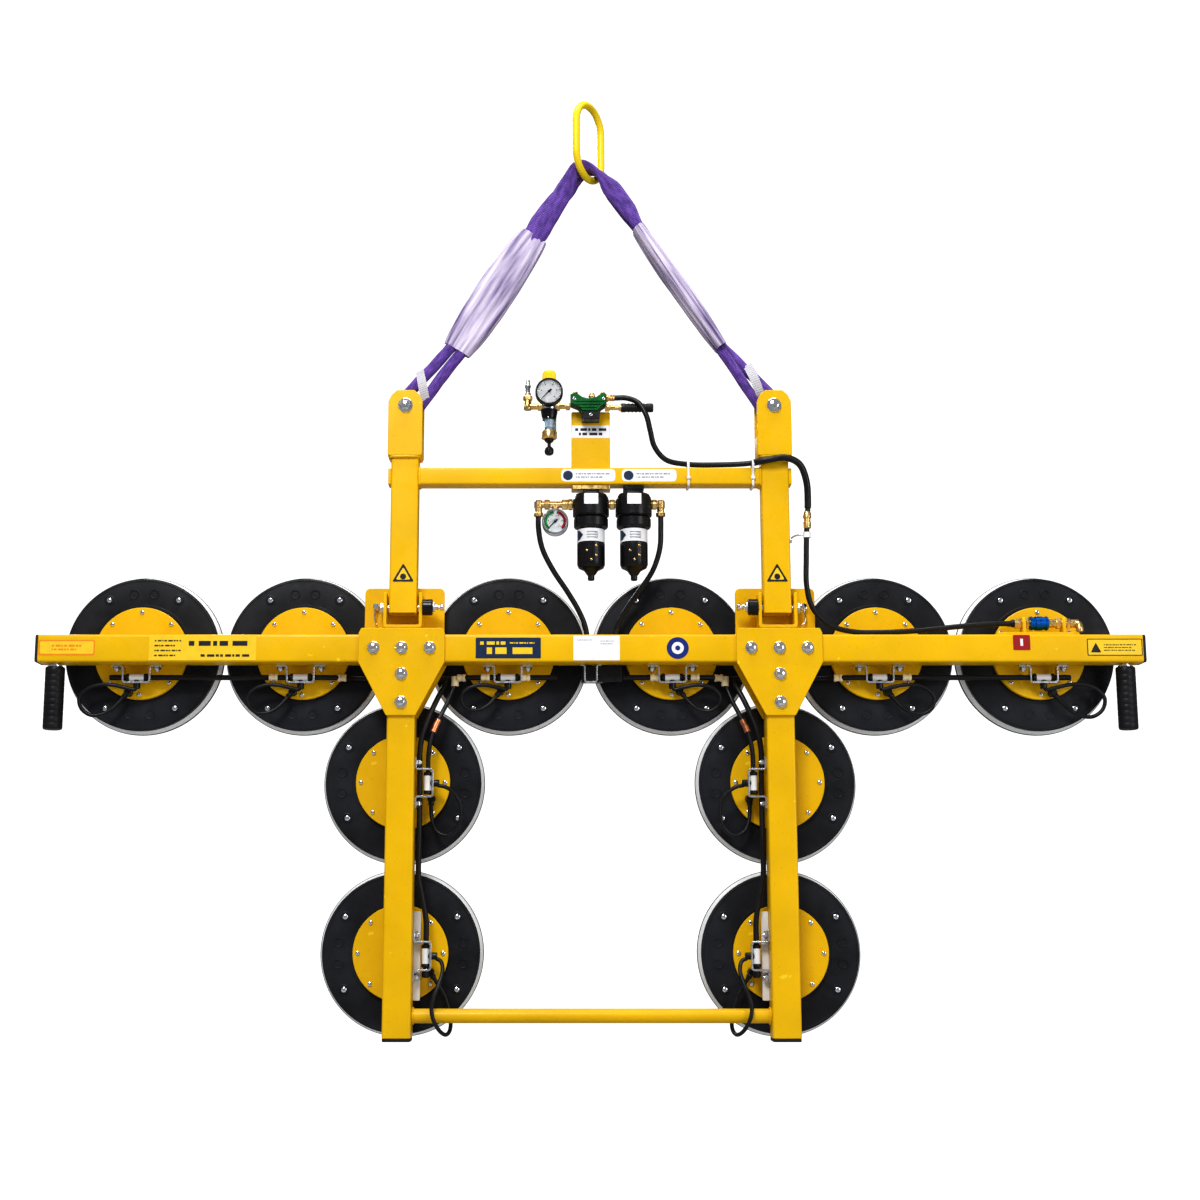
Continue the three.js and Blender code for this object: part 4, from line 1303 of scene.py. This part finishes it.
def make_generator():
    y = -23
    green = [(-36, 473), (-36, 456), (-22, 450), (-14, 441), (14, 441), (22, 450), (31, 456), (31, 473)]
    green += [(24, 477), (12, 468), (-2, 465), (-14, 468), (-26, 477)]
    body = Shape().plate(rounded(green, 2.5, 3), -39, -7)
    build("generator_body", body, GREEN, "bail", "vacuum_generator", bevel=1.4)
    fins = Shape()
    for z in (447, 453, 459):
        fins.plate(block(-30 + (459 - z), 26 - (459 - z), z, z + 2.4, 1), -40.6, -38.6)
    build("generator_fins", fins, GREEN, "bail", bevel=0.4)
    base = Shape().plate(block(-15, 18, 426, 445, 2), -37, -6.3)
    build("generator_base", base, BLACK, "bail", slot="green_anodised", bevel=1.0)
    scatter(
        "generator_screws", socket_screw(3.6, 2.4), [(1.5, -37, 434), (-29, -39, 464), (25, -39, 464)],
        CHROME, "bail",
    )
    plugs = Shape()
    for x, h in ((-27, 8), (4, 5), (24, 7)):
        plugs.turn([(5.2, 462), (5.2, 472 + h), (4, 473.5 + h)], (x, y, 0), "z", 20)
        plugs.hex(11, 470, 475, (x, y, 0), "z")
    build("generator_plugs", plugs, BRASS, "bail")
    barb = [(7.4, 30), (7.4, 34), (5.6, 34.6), (5.6, 38), (6.8, 38.4), (5.2, 42), (6.6, 42.4), (5.2, 46)]
    build("generator_barb", Shape().turn(barb, (0, y, 470), "x", 28), BRASS, "bail")
    neck = [(7, 28), (7, 36), (4.4, 37), (4.4, 54), (6.4, 55), (6.4, 60)]
    build("muffler_neck", Shape().turn(neck, (0, y, 451), "x", 28), BRASS, "bail")
    can = [(7.8, 58), (8.4, 59.5), (8.4, 66)]
    for k in range(6):
        can += [(7.6, 67 + 7 * k), (7.6, 70 + 7 * k), (8.4, 71 + 7 * k), (8.4, 73.5 + 7 * k)]
    can += [(8.4, 115), (7, 118)]
    build("muffler_can", Shape().turn(can, (0, y, 451), "x", 36), BLACK_MATT, "bail")


REGULATOR = (-75.3, -22)


def make_regulator():
    x, y = REGULATOR
    at = (x, y, 0)
    body = [(9, 438), (14, 447), (14, 458), (12, 461), (12, 486), (14, 488), (14, 499), (12, 500)]
    build("regulator_body", Shape().turn(body, at, "z", 40), ZINC, "bail", "filter_regulator", slot="brass")
    collar = knurl(
        Shape().turn([(13, 428), (13.6, 432), (15.4, 442), (15.4, 447)], at, "z", 40), 15.6, 441, 446, at
    )
    build("regulator_collar", collar, BLACK, "bail")
    bowl = [(12.6, 437.7), (13.4, 436), (13.6, 425), (13.4, 407), (11.6, 406.4), (11.6, 434), (0, 434.4)]
    build("regulator_bowl_glass", Shape().turn(bowl, at, "z", 48), BOWL, "bail", "regulator_bowl")
    core = [(5, 408), (5, 412), (8.6, 413), (8.6, 428), (4, 430), (4, 436)]
    build("regulator_filter_core", Shape().turn(core, at, "z", 32), WHITE_PLASTIC, "bail", slot="clear_bowl")
    ring = [(12, 391), (14.5, 393), (14.5, 404), (13.6, 406.4)]
    build("regulator_ring", Shape().turn(ring, at, "z", 48), BRASS, "bail")
    drain = [
        (5, 361), (8, 363.5), (8.6, 368), (8.2, 373), (5, 376), (3.2, 378), (3.2, 383), (8, 387), (9, 391)
    ]
    build("regulator_drain", Shape().turn(drain, at, "z", 36), BLACK, "bail")
    knob = knurl(Shape().turn([(11.6, 500.3), (12, 518), (10.4, 521)], at, "z", 40), 13, 502, 516, at)
    build("regulator_knob_cap", knob, YELLOW_PLASTIC, "regulator_knob", "regulator_knob", angle=30)
    pipes = Shape().turn([(6, -120), (6, x - 12)], (0, y, 454), "x", 24)
    pipes.hex(15, x - 21, x - 12, (0, y, 454), "x").hex(15, x + 12, x + 20, (0, y, 454), "x")
    pipes.turn([(5, x + 12), (5, -36)], (0, y, 454), "x", 24)
    pipes.hex(13, -44, -36.5, (0, y, 454), "x")
    pipes.turn([(6.4, 447), (7.4, 449), (7.4, 459), (6.6, 461), (6.6, 466)], (-115, y, 0), "z", 28)
    pipes.hex(15, 465, 474, (-115, y, 0), "z")
    build("regulator_pipes", pipes, BRASS, "bail", angle=30)
    nipple = [
        (6, 473), (6, 478), (4.4, 480), (4.4, 489), (5.6, 491), (5.6, 494), (4.2, 496), (4.2, 503), (3, 505)
    ]
    build("air_inlet_nipple", Shape().turn(nipple, (-115, y, 0), "z", 28), STEEL, "bail")
    stem = [(9, -42), (9, -37), (5, -36), (5, -24)]
    build("pressure_gauge_stem", Shape().turn(stem, (x, 0, 473), "y", 28), BRASS, "bail")


FILTERS = (("left", 2), ("right", 81))
FILTER_PIPE = 272


def make_filters():
    for name, x in FILTERS:
        at = (x, 0, 0)
        head = Shape().turn([(30, 247), (32.4, 249), (32.4, 284), (29, 290)], at, "z", 64)
        knurl(head, 34, 250, 280, at, 16)
        head.plate(block(x - 15, x + 15, -14, 14, 3), 288, 300, "z")
        node = "filter_manifold" if name == "left" else None
        build(f"filter_head_{name}", head, BLACK, "bail", node, angle=30)
        wide, finish = (36, BRASS) if name == "left" else (19, BLACK)
        foot = Shape().plate(block(x - wide, x + wide, -15, 15, 3), 298, CROSS_FOOT - 0.2, "z")
        build(f"filter_foot_{name}", foot, finish, "bail", bevel=0.8)
        bowl = [(5, 129), (6.2, 131), (6.2, 138), (9, 141), (13, 147), (23, 152), (25.6, 158), (25.6, 197)]
        bowl += [(24.8, 198), (24.8, 224), (25.6, 225), (30, 227), (31.4, 229), (31.4, 244), (30, 245.7)]
        shape = Shape().turn(bowl, at, "z", 64)
        knurl(shape, 32, 230, 243, at, 20)
        for k in range(8):
            a = math.pi * (k + 0.5) / 4
            rib = [(x + 25.2 * math.cos(a + d), 25.2 * math.sin(a + d)) for d in (-0.05, 0.05)]
            rib += [(x + 26.6 * math.cos(a + d), 26.6 * math.sin(a + d)) for d in (0.05, -0.05)]
            shape.plate(rib, 160, 194, "z")
        build(f"filter_bowl_{name}_body", shape, BLACK, "bail", f"filter_bowl_{name}", angle=30)
        band = [(24.6, 199), (25.4, 199), (25.4, 223), (24.6, 223)]
        wrap = Shape().turn(band, at, "z", 64, loop=True)
        build(f"filter_band_{name}", wrap, WHITE_FILM, "bail", slot="black_plastic")
        chevron = [(x - 25, 201), (x - 21, 203), (x - 15, 211), (x - 21, 219), (x - 25, 221)]
        curved_film(f"filter_mark_{name}", chevron, x, 26.1, NAVY_FILM)
        marks = Shape()
        for z in (206, 211, 216):
            marks.plate(block(x - 8, x + 12, z - 0.7, z + 0.7, 0.5), -25.9, -24)
        build(f"filter_lines_{name}", marks, GREY_INK, "bail", slot="black_plastic")
        square = block(x - 13, x + 13, 266, 286, 1.5)
        label(f"filter_label_{name}", square, -34.2, WHITE_FILM, "bail", "black_plastic", thick=0.5)
        places = [(x + 9, -24.4, 190), (x + 9, -24.4, 172), (x - 8, -24.6, 181), (x, -25.4, 164)]
        scatter(f"filter_screws_{name}", socket_screw(2.4, 1.6), places, BRASS, "bail")
    pipes = Shape().turn([(6, -95), (6, 131)], (0, 0, FILTER_PIPE), "x", 24)
    for x0, x1, across in ((-84, -74, 17), (-52, -40, 17), (-40, -32, 19), (36.5, 46.5, 17), (115, 124, 17)):
        pipes.hex(across, x0, x1, (0, 0, FILTER_PIPE), "x")
    for x in (-95, 131):
        elbow = [(6.5, 252), (6.5, 264), (8, 266), (8, 277), (6.5, 279.5), (0, 280)]
        pipes.turn(elbow, (x, 0, 0), "z", 28)
        pipes.hex(15, 249, 257, (x, 0, 0), "z")
    pipes.turn([(4.4, 256), (4.4, 262), (6.6, 264), (6.6, 270)], (VACUUM_DIAL[0], 0, 0), "z", 24)
    build("filter_pipes", pipes, BRASS, "bail", angle=30)


def curved_film(name, outline, x, radius, material):
    """A film laid on the front of an upright cylinder at x."""
    verts = []
    for depth in (0.15, -0.2):
        verts += [(a, -math.sqrt(max(radius**2 - (a - x) ** 2, 0)) - depth, b) for a, b in outline]
    n = len(outline)
    faces = [tuple(range(n)), tuple(range(2 * n - 1, n - 1, -1))]
    faces += [(k, k + n, (k + 1) % n + n, (k + 1) % n) for k in range(n)]
    build(name, Shape().add(verts, faces), material, "bail", slot="black_plastic")


make_generator()
make_regulator()
gauge("pressure_gauge", PRESSURE_DIAL, 25.6, -60, -41, BLACK)
needle("pressure_needle", PRESSURE_DIAL, -57.4, 18)
gauge("vacuum_gauge", VACUUM_DIAL, 24.4, -19, 6, CHROME, [(100, 232, GREEN_FILM), (-45, 80, RED_FILM)])
needle("vacuum_needle", VACUUM_DIAL, -16.2, 16)
make_filters()

# ---------- hand slide valve ----------
VALVE = spot("valve_sleeve")[0]


def make_valve():
    z = VALVE.z
    at = (0, 0, z)
    bracket = Shape().plate(block(741, 881, -13, 13, 2), HALF + 0.3, 31, "z")
    for x in (789, 862):
        bracket.plate(
            rounded([(-12, 30), (12, 30), (12, 52), (8, 60), (-8, 60), (-12, 52)], 2, 3), x, x + 6, "x"
        )
    build("valve_bracket", bracket, YELLOW, "frame", "valve_body", bevel=0.8)
    tube = [(8, 783), (8, 788), (7.4, 800), (8, 801), (8, 845), (7.4, 846), (8, 893)]
    brass = Shape().turn(tube, at, "x", 32)
    for across, x0, x1 in ((17, 776, 788.5), (19, 796, 802), (19, 852, 860), (17, 870, 878)):
        brass.hex(across, x0, x1, at, "x")
    elbow = curve_points(
        [(878, 0, z), (887, -1, z - 0.5), (892, -6, z - 3), (893, -9, z - 9), (893, -9.5, z - 16)], 6
    )
    brass.tube(elbow, 7, 20)
    build("valve_tube", brass, BRASS, angle=30)
    scatter("valve_screws", socket_screw(4, 3), [(749, -9, 31), (873, -9, 31)], CHROME)
    sleeve = [
        (8.6, 804.5), (12, 804), (13, 805), (13, 808), (11.6, 809), (11.6, 813), (13, 814), (13, 827),
        (11.6, 828),
    ]
    sleeve += [(11.6, 832), (13, 833), (13, 836), (12, 837), (8.6, 836.5)]
    build(
        "valve_sleeve_ring", Shape().turn(sleeve, at, "x", 40, loop=True), BLUE, "valve_sleeve",
        "valve_sleeve",
    )
    ferrule = [(6.6, 770), (7.2, 772), (7.2, 780), (6, 783)]
    build("valve_hose_ferrule", Shape().turn(ferrule, at, "x", 24), BLACK, slot="brass")


make_valve()

# ---------- vacuum line, brackets and pad hoses ----------
LINE_Z = -48
LINE_WIDE = [
    (880, 20), (790, 20), (700, 20), (590, 20), (482, 20), (452, 26), (436, 34), (418, 37.2), (342, 37.2)
]
LINE_NEAR = [(266, 37.2), (251, 34), (236, 26), (202, 20), (120, 20)]
COLUMN_LINE = [
    (262, 36, LINE_Z), (266, 28, -60), (274, 18, -77), (286, 10, -104), (299, 5, -137), (308.1, 4, -175)
]
COLUMN_LINE += [(308.1, 4, -240), (308.1, 4, -300), (308.1, 4, -350), (308.1, 4, -410), (300, 4, -450)]
COLUMN_LINE += [(294, 4, -485), (293.5, 4, -530), (293.5, 4, -580)]
BRANCH = [
    (248, 29, -58), (252, 27, -70), (260, 20, -92), (272, 12, -118), (284, 7, -145), (291, 4, -172),
    (293.5, 4, -196), (293.5, 4, -222),
]
BRACKET_DROP = 32
LINE_OFFSET = 22.8  # from a tube's face to the line that its brackets hold


def ribbon(path, y0, y1, thick):
    """A bent strip: path is (x, z), and the strip is as wide as y0 to y1."""
    points = [Vector((x, z)) for x, z in path]
    rings = []
    for i, p in enumerate(points):
        along = (points[min(i + 1, len(points) - 1)] - points[max(i - 1, 0)]).normalized()
        n = Vector((-along.y, along.x)) * thick / 2
        a, b = p - n, p + n
        rings.append([(a.x, y0, a.y), (b.x, y0, b.y), (b.x, y1, b.y), (a.x, y1, a.y)])
    return Shape().rings(rings)


def bracket_path(half, drop, flange):
    right = [(flange, -1.6), (half + 4, -1.6), (half + 1.6, -2.4), (half, -4.6), (half, -drop + 4)]
    right += [(half - 1, -drop + 1.4), (half - 3.4, -drop)]
    return [(-x, z) for x, z in right] + [(x, z) for x, z in reversed(right)]


def port_pieces(y):
    """The tee that a bracket holds, round the line at y: body, collets and the elbow for the pad's hose."""
    at = (0, y, -LINE_OFFSET)
    body = Shape().turn([(6.6, -14), (6.6, 14)], at, "x", 24)
    collets = Shape()
    for s in (-1, 1):
        ring = [(7.4, 13.5), (7.8, 15), (7.8, 18.5), (6.4, 20)]
        collets.turn([(r, s * h) for r, h in ring], at, "x", 24)
    drop = -LINE_OFFSET - 14.5
    collets.turn([(5.6, drop + 10), (6.4, drop + 3), (6.4, drop - 5), (5, drop - 6.2)], (0, y, 0), "z", 24)
    return body, collets


COUPLING = [(6.4, -8), (7, -6.6), (7, -3), (6, -2), (6, 2), (7, 3), (7, 6.6), (6.4, 8)]


def make_line():
    right = curve_points([(x, y, LINE_Z) for x, y in LINE_WIDE + LINE_NEAR] + [(60, 20, LINE_Z)], 5)
    for name, s in SIDES:
        path = [Vector((s * p.x, p.y, p.z)) for p in right]
        node = "vacuum_line" if s < 0 else None
        build(f"header_{name}", Shape().tube(path, 5, 16, wide=(0, 0, 1)), HOSE, "frame", node)
        down = curve_points([(s * x, y, z) for x, y, z in COLUMN_LINE], 4)
        build(f"column_line_{name}", Shape().tube(down, 5, 16), HOSE)
        branch = [(s * x, y, z) for x, y, z in BRANCH]
        hose(f"branch_{name}_hose", branch, 4.2, "frame", 6, stiffness="medium", lay="hanging")
        tee = Shape()
        for x, y in ((455, 25.4), (236, 26), (580, 20), (118, 20), (192, 20)):
            tee.turn(COUPLING, (s * x, y, LINE_Z), "x", 24)
        tee.turn([(7, -10), (7, 8)], (s * 248, 29, -53), "z", 24)
        build(f"header_couplings_{name}", tee, IVORY)
        joint = curve_points(branch, 6)[20:26]
        build(f"branch_coupling_{name}", Shape().tube(joint, 6, 20), COPPER)
        cap = Shape().turn([(5, -586), (7, -584), (7, -573)], (s * 293.5, 4, 0), "z", 24)
        build(f"column_line_end_{name}", cap, BLACK)
        inner = -s
        x0, x1 = sorted((s * COLUMN_X + inner * (HALF + 0.2), s * COLUMN_X + inner * (HALF + 12.5)))
        strip = Shape().plate(block(x0, x1, -626, -470, 2), 15, 17.4)
        build(f"column_strip_{name}", strip, WHITE_PLASTIC, bevel=0.4)
    middle = Shape().plate(block(-16, 58, -57, -27, 2), 13, 37)
    build("line_manifold", middle, BLACK, bevel=1.0)
    hanger = ribbon([(x + 1, z - HALF) for x, z in bracket_path(11, 33, 20)], 0, 12, 3)
    build("line_hanger", hanger, ZINC, bevel=0.4)
    nuts = Shape()
    for x in (-3, 45):
        nuts.hex(14, -29, -22, (x, 31.5, 0), "z")
    build("line_manifold_nuts", nuts, BRASS)


# from a beam pad's tee round to its port, to the right of the pad's centre
LOOP = [
    (2, 20, -68), (4, 19, -70), (24, 17, -66), (44, 15, -62), (68, 14, -62), (90, 14, -70), (103, 15, -86),
    (99, 17, -105), (82, 19, -117), (62, 22, -115), (45, 24.5, -105), (33.5, 27.5, -92.5),
    (24.5, 29.5, -81.5),
]
# the same at an upper column pad, away from the column
COLUMN_LOOP = [
    (66, 4, -4), (80, 4, -7), (96, 6, -18), (107, 9, -38), (108, 12, -62), (98, 16, -84), (80, 20, -93),
    (63, 24, -84), (55, 27, -64), (53, 29.5, -44), (53, 30, -36),
]
# and at a lower one, where it hangs over the tie bar and comes back behind it
LOW_LOOP = [
    (66, 4, -4), (75, 3, -9), (79, -2, -25), (73, -11, -48), (65, -17, -70), (61, -19.5, -92),
    (66, -21, -112), (76, -14, -129), (86, 2, -136), (92, 18, -128), (92, 27, -108), (86, 29, -84),
    (78, 30, -64), (68, 30, -49), (60, 30, -37),
]
# the side and the size of each beam pad's loop
LOOP_SHAPE = {1: (-1, 1.0), 2: (-1, 0.93), 3: (-1, 0.82), 4: (1, 0.84), 5: (1, 0.95), 6: (1, 1.06)}


def make_brackets():
    stub = Shape().turn(
        [(7.4, DISC_FRONT + 0.2), (7.4, 37.5), (6.6, 36.5), (6.6, 25), (5, 23.4)], axis="y", sides=24
    )
    nipple = [(4.6, 5), (5.2, 7), (5.2, 11), (4.2, 13)]
    for number, (centre, _) in enumerate(PADS, 1):
        x, z = centre.x, centre.z
        inner = 1 if x < 0 else -1
        if number <= BEAM_PADS:
            line_y = 20
            place_at = Matrix.Translation((x, 0, -HALF))
        else:
            line_y = 4
            place_at = Matrix.Translation((x + inner * HALF, 0, z - 4)) @ Matrix.Rotation(
                -inner * math.pi / 2, 4, "Y"
            )
        strip = ribbon(bracket_path(24.5, BRACKET_DROP, 46), line_y - 10, line_y + 5, 3.4).moved(place_at)
        build(f"bracket_{number}", strip, ZINC, bevel=0.5)
        bolts = Shape()
        for s in (-1, 1):
            bolts.hex(12, -3.4, -9, (s * 37, line_y - 3, 0), "z")
            bolts.turn([(4, -9), (3.2, -12)], (s * 37, line_y - 3, 0), "z", 20)
        build(f"bracket_{number}_bolts", bolts.moved(place_at), ZINC, angle=30)
        for part, shape, finish in zip(("tee", "collets"), port_pieces(line_y), (WHITE_PLASTIC, BLACK)):
            build(f"bracket_{number}_{part}", shape.moved(place_at), finish)
        if number <= BEAM_PADS:
            s, scale = LOOP_SHAPE[number]
            points = [(x + s * px * scale, py, -68 + (pz + 68) * scale) for px, py, pz in LOOP]
        else:
            loop = COLUMN_LOOP if number <= BEAM_PADS + 2 else LOW_LOOP
            points = [(x + inner * px, py, z - 4 + pz) for px, py, pz in loop]
        piece = hose(f"pad_{number}_hose", points, 3.6, per=6, stiffness="medium", lay="hanging")
        tuple(metres((x, 8, z)))
        tuple(metres((x, 27, z)))
        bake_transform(piece)
        end, before = (Vector(q) for q in (points[-1], points[-2]))
        way = (end - before).normalized()
        way = Vector((way.x, 0, way.z)).normalized()
        port = end + way * 10
        fitting = Shape().turn(nipple, axis="z", sides=24).moved(
            way.to_track_quat("-Z", "Y").to_matrix().to_4x4()
        )
        fitting.moved(Matrix.Translation((0, port.y, 0)))
        fitting.join(stub.copy()).moved(Matrix.Translation((port.x, 0, port.z)))
        build(f"pad_{number}_port", fitting, BLACK, f"pad_{number}")


make_line()
make_brackets()

# ---------- ties, clips and the hose guard ----------


def make_hose_details():
    path = curve_points(HOSE_MAIN, 8)
    guard = [p for p in path if p.x > 303 and p.z > 262]
    build("hose_guard", Shape().tube(guard, 6.3, 20), HOSE, "bail")
    coupling = [(5.6, 224), (7, 226), (7, 236), (6, 237), (6, 243), (7.6, 244), (7.6, 252), (6, 256)]
    build("hose_coupling", Shape().turn(coupling, (400, -13.2, 0), "z", 28), BRASS, "bail")
    band = [(7, 207), (7, 217)]
    build("hose_clip_band", Shape().turn(band, (399, -12, 0), "z", 28), WHITE_PLASTIC, "bail")
    wire = curve_points([(392.5, -11, 212), (384, -8, 213), (376, -4, 211), (368.4, 0, 206)], 6)
    build("hose_clip_wire", Shape().tube(wire, 1.6, 12), ZINC, "bail")
    bolt = Shape().hex(9, 367.6, 372.5, (0, 0, 204), "x")
    build("hose_clip_bolt", bolt, ZINC, "bail")
    for index, x in enumerate((182, 301)):
        y0 = -13 if index == 0 else -21
        loop = [
            (x, -20.4, 304.6), (x, -20.6, 325), (x, min(y0 - 7, -20.4), 342), (x, y0 - 5, 350),
            (x, y0 + 3, 353),
        ]
        loop += [
            (x, y0 + 10, 347), (x, 12, 340.4), (x, 20.6, 338), (x, 20.6, 320), (x, 20.4, 305), (x, 0, 304.4)
        ]
        tie = Shape().tube(curve_points(loop, 5, True), 2.3, 10, loop=True, flat=0.3, wide=(1, 0, 0))
        tie.box(x - 3.4, x + 3.4, -24.5, -20.6, 316, 321)
        build(f"hose_tie_{index + 1}", tie, WHITE_PLASTIC, "bail")


make_hose_details()

# ---------- labels: plain plates and bars in place of marks and text ----------


def words(x0, x1, z0, z1, start=0):
    """A line of plain blocks of uneven length."""
    rows, x, k = [], x0, start
    step = z1 - z0
    while x < x1 - step:
        wide = step * (1.1, 2.4, 0.8, 1.7, 3.0, 1.3)[k % 6]
        rows.append((x, min(x + wide, x1), z0, z1))
        x += wide + step * (0.5 if k % 3 else 0.9)
        k += 1
    return rows


def make_labels():
    front = -HALF
    label("name_plate", block(-208, -90, -19, 19, 2), front, NAVY_FILM)
    rows = words(-200, -154, 6, 12) + words(-188, -104, -11, 1, 2) + words(-146, -98, 8, 10.5, 1)
    bars("name_plate_bars", rows, front - 0.35, LEMON_FILM)
    label("white_plate", block(-31, 53, -22.5, 22.5, 1), front, WHITE_FILM)
    rows = words(-24, 4, 14, 15.4) + words(18, 44, 12, 13.4, 1) + words(18, 40, 7, 8.4, 3)
    bars("white_plate_bars", rows, front - 0.35, GREY_INK)
    label("round_plate", disc(158, 0, 20), front, BLUE_FILM)
    label("round_plate_ring", disc(158, 0, 11), front - 0.35, WHITE_FILM)
    label("round_plate_dot", disc(158, 0, 4.5), front - 0.7, BLUE_FILM)
    label("end_plate_left", block(-1000, -898, -13, 15, 4), front, ORANGE_FILM)
    label("end_plate_left_field", block(-997.5, -900.5, -10.5, 12.5, 3), front - 0.3, LEMON_FILM, thick=0.15)
    rows = words(-976, -920, 2.5, 6) + words(-976, -928, -4, -1, 2)
    bars("end_plate_left_bars", rows, front - 0.45, ORANGE_FILM)
    label("rating_plate", block(-800, -606, -22.5, 22.5, 1), front, LEMON_FILM)
    rows = words(-728, -612, 4, 13) + words(-706, -618, -16, -11.5, 3)
    for k in range(4):
        rows += words(-790, -742 - 6 * (k % 2), 12 - 9 * k, 14.8 - 9 * k, k)
    bars("rating_plate_bars", rows, front - 0.35, BLACK_INK)
    label("switch_plate", block(766, 797, -4, 24, 2), front, RED_FILM)
    bars("switch_plate_bar", [(779, 784, 4, 17)], front - 0.35, WHITE_FILM)
    label("end_plate_right", block(900, 1000, -14, 17, 2), front, BLACK_INK)
    label("end_plate_right_field", block(901.6, 998.4, -12.4, 15.4, 1.5), front - 0.3, LEMON_FILM, thick=0.15)
    rows = words(930, 990, 5, 6.8) + words(930, 980, 0, 1.8, 2) + words(930, 986, -5, -3.2, 4)
    bars("end_plate_right_bars", rows, front - 0.45, BLACK_INK)
    mark = rounded([(906, -8), (925, -8), (915.5, 10)], 1, 2)
    label("end_plate_right_mark", mark, front - 0.45, BLACK_INK)
    for name, s in SIDES:
        x = s * COLUMN_X
        y = -LEG_DEPTH
        for part, size, film, lift in (("edge", 23, BLACK_INK, 0), ("field", 15.5, LEMON_FILM, 0.3)):
            corners = [polar_xz(x, 135, size, degrees) for degrees in (-30, 90, 210)]
            label(f"leg_mark_{name}_{part}", rounded(corners, 2, 3), y - lift, film, "bail")
        label(f"leg_mark_{name}_dot", disc(x, 133, 5.5, 24), y - 0.6, BLACK_INK, "bail")
    for index, (x0, x1) in enumerate(((-53, 47), (59, 160))):
        name = f"cross_plate_{index + 1}"
        label(name, block(x0, x1, 311.5, 335, 8), -LEG_DEPTH, WHITE_FILM, "bail")
        label(f"{name}_disc", disc(x0 + 12.5, 323, 9), -LEG_DEPTH - 0.3, NAVY_FILM, "bail")
        rows = words(x0 + 27, x1 - 10, 325, 327.4, index) + words(x0 + 27, x1 - 24, 318.6, 321, 2)
        bars(f"{name}_bars", rows, -LEG_DEPTH - 0.35, GREY_INK, "bail")
    label("unit_label", block(-33.5, 37.5, 398, 422, 1), -6, WHITE_FILM, "bail")
    bars(
        "unit_label_bars", words(-27, 31, 411.5, 416.5) + words(-20, 26, 403, 408, 2), -6.35, BLACK_INK,
        "bail",
    )


make_labels()

# ---------- stage ----------
FLOOR_DROP = 170


def studio_white(tree, glow, dim):
    """White to the camera, dimmer to everything it lights."""
    path = tree.nodes.new("ShaderNodeLightPath")
    bright = tree.nodes.new("ShaderNodeEmission" if glow else "ShaderNodeBackground")
    bright.inputs["Color"].default_value = (1, 1, 1, 1)
    mix = tree.nodes.new("ShaderNodeMixShader")
    tree.links.new(path.outputs["Is Camera Ray"], mix.inputs["Fac"])
    tree.links.new(dim.outputs[0], mix.inputs[1])
    tree.links.new(bright.outputs[0], mix.inputs[2])
    output = next(n for n in tree.nodes if n.type.startswith("OUTPUT"))
    tree.links.new(mix.outputs[0], output.inputs["Surface"])


def make_stage():
    floor = bpy.data.materials.new("studio_floor")
    floor.use_nodes = True
    shader = floor.node_tree.nodes["Principled BSDF"]
    shader.inputs["Base Color"].default_value = (0.38, 0.38, 0.38, 1)
    shader.inputs["Roughness"].default_value = 0.9
    studio_white(floor.node_tree, True, shader)
    level = BEAM_Z + (FOOT_Z - FLOOR_DROP) / 1000
    data = bpy.data.meshes.new("floor")
    bend, back, near, top, wide = 3.0, 4.0, -8, 12, 14
    rows = [(near, level)]
    for k in range(25):
        a = math.radians(90 * k / 24)
        rows.append((back + bend * math.sin(a), level + bend * (1 - math.cos(a))))
    rows.append((back + bend, level + top))
    verts = [(x, y, z) for y, z in rows for x in (-wide, wide)]
    faces = [(2 * i, 2 * i + 1, 2 * i + 3, 2 * i + 2) for i in range(len(rows) - 1)]
    data.from_pydata(verts, [], faces)
    data.materials.append(floor)
    ground = bpy.data.objects.new("floor", data)
    bpy.context.scene.collection.objects.link(ground)


def area_light(name, place_at, aim, size, power):
    data = bpy.data.lights.new(name, "AREA")
    data.shape = "RECTANGLE"
    data.size, data.size_y = size
    data.energy = power
    lamp = bpy.data.objects.new(name, data)
    lamp.location = place_at
    lamp.rotation_euler = (Vector(aim) - Vector(place_at)).to_track_quat("-Z", "Y").to_euler()
    bpy.context.scene.collection.objects.link(lamp)


def make_lights():
    world = bpy.data.worlds.new("studio")
    bpy.context.scene.world = world
    world.use_nodes = True
    dim = world.node_tree.nodes["Background"]
    dim.inputs["Color"].default_value = (0.93, 0.96, 1, 1)
    dim.inputs["Strength"].default_value = 0.28
    studio_white(world.node_tree, False, dim)
    middle = (0, 0, BEAM_Z)
    area_light("key", (-0.9, -3.6, BEAM_Z + 2.8), middle, (1.4, 1.4), 128)
    area_light("fill", (3.0, -3.0, BEAM_Z + 0.4), middle, (1.6, 1.6), 36)
    area_light("top", (0, -0.4, BEAM_Z + 3.2), middle, (2.5, 1.2), 62)
    area_light("rim", (-1.5, 3.2, BEAM_Z + 2.0), middle, (2.0, 1.2), 50)
    bpy.context.scene.view_settings.view_transform = "Standard"
    bpy.context.scene.view_settings.look = "Medium High Contrast"


make_stage()
make_lights()
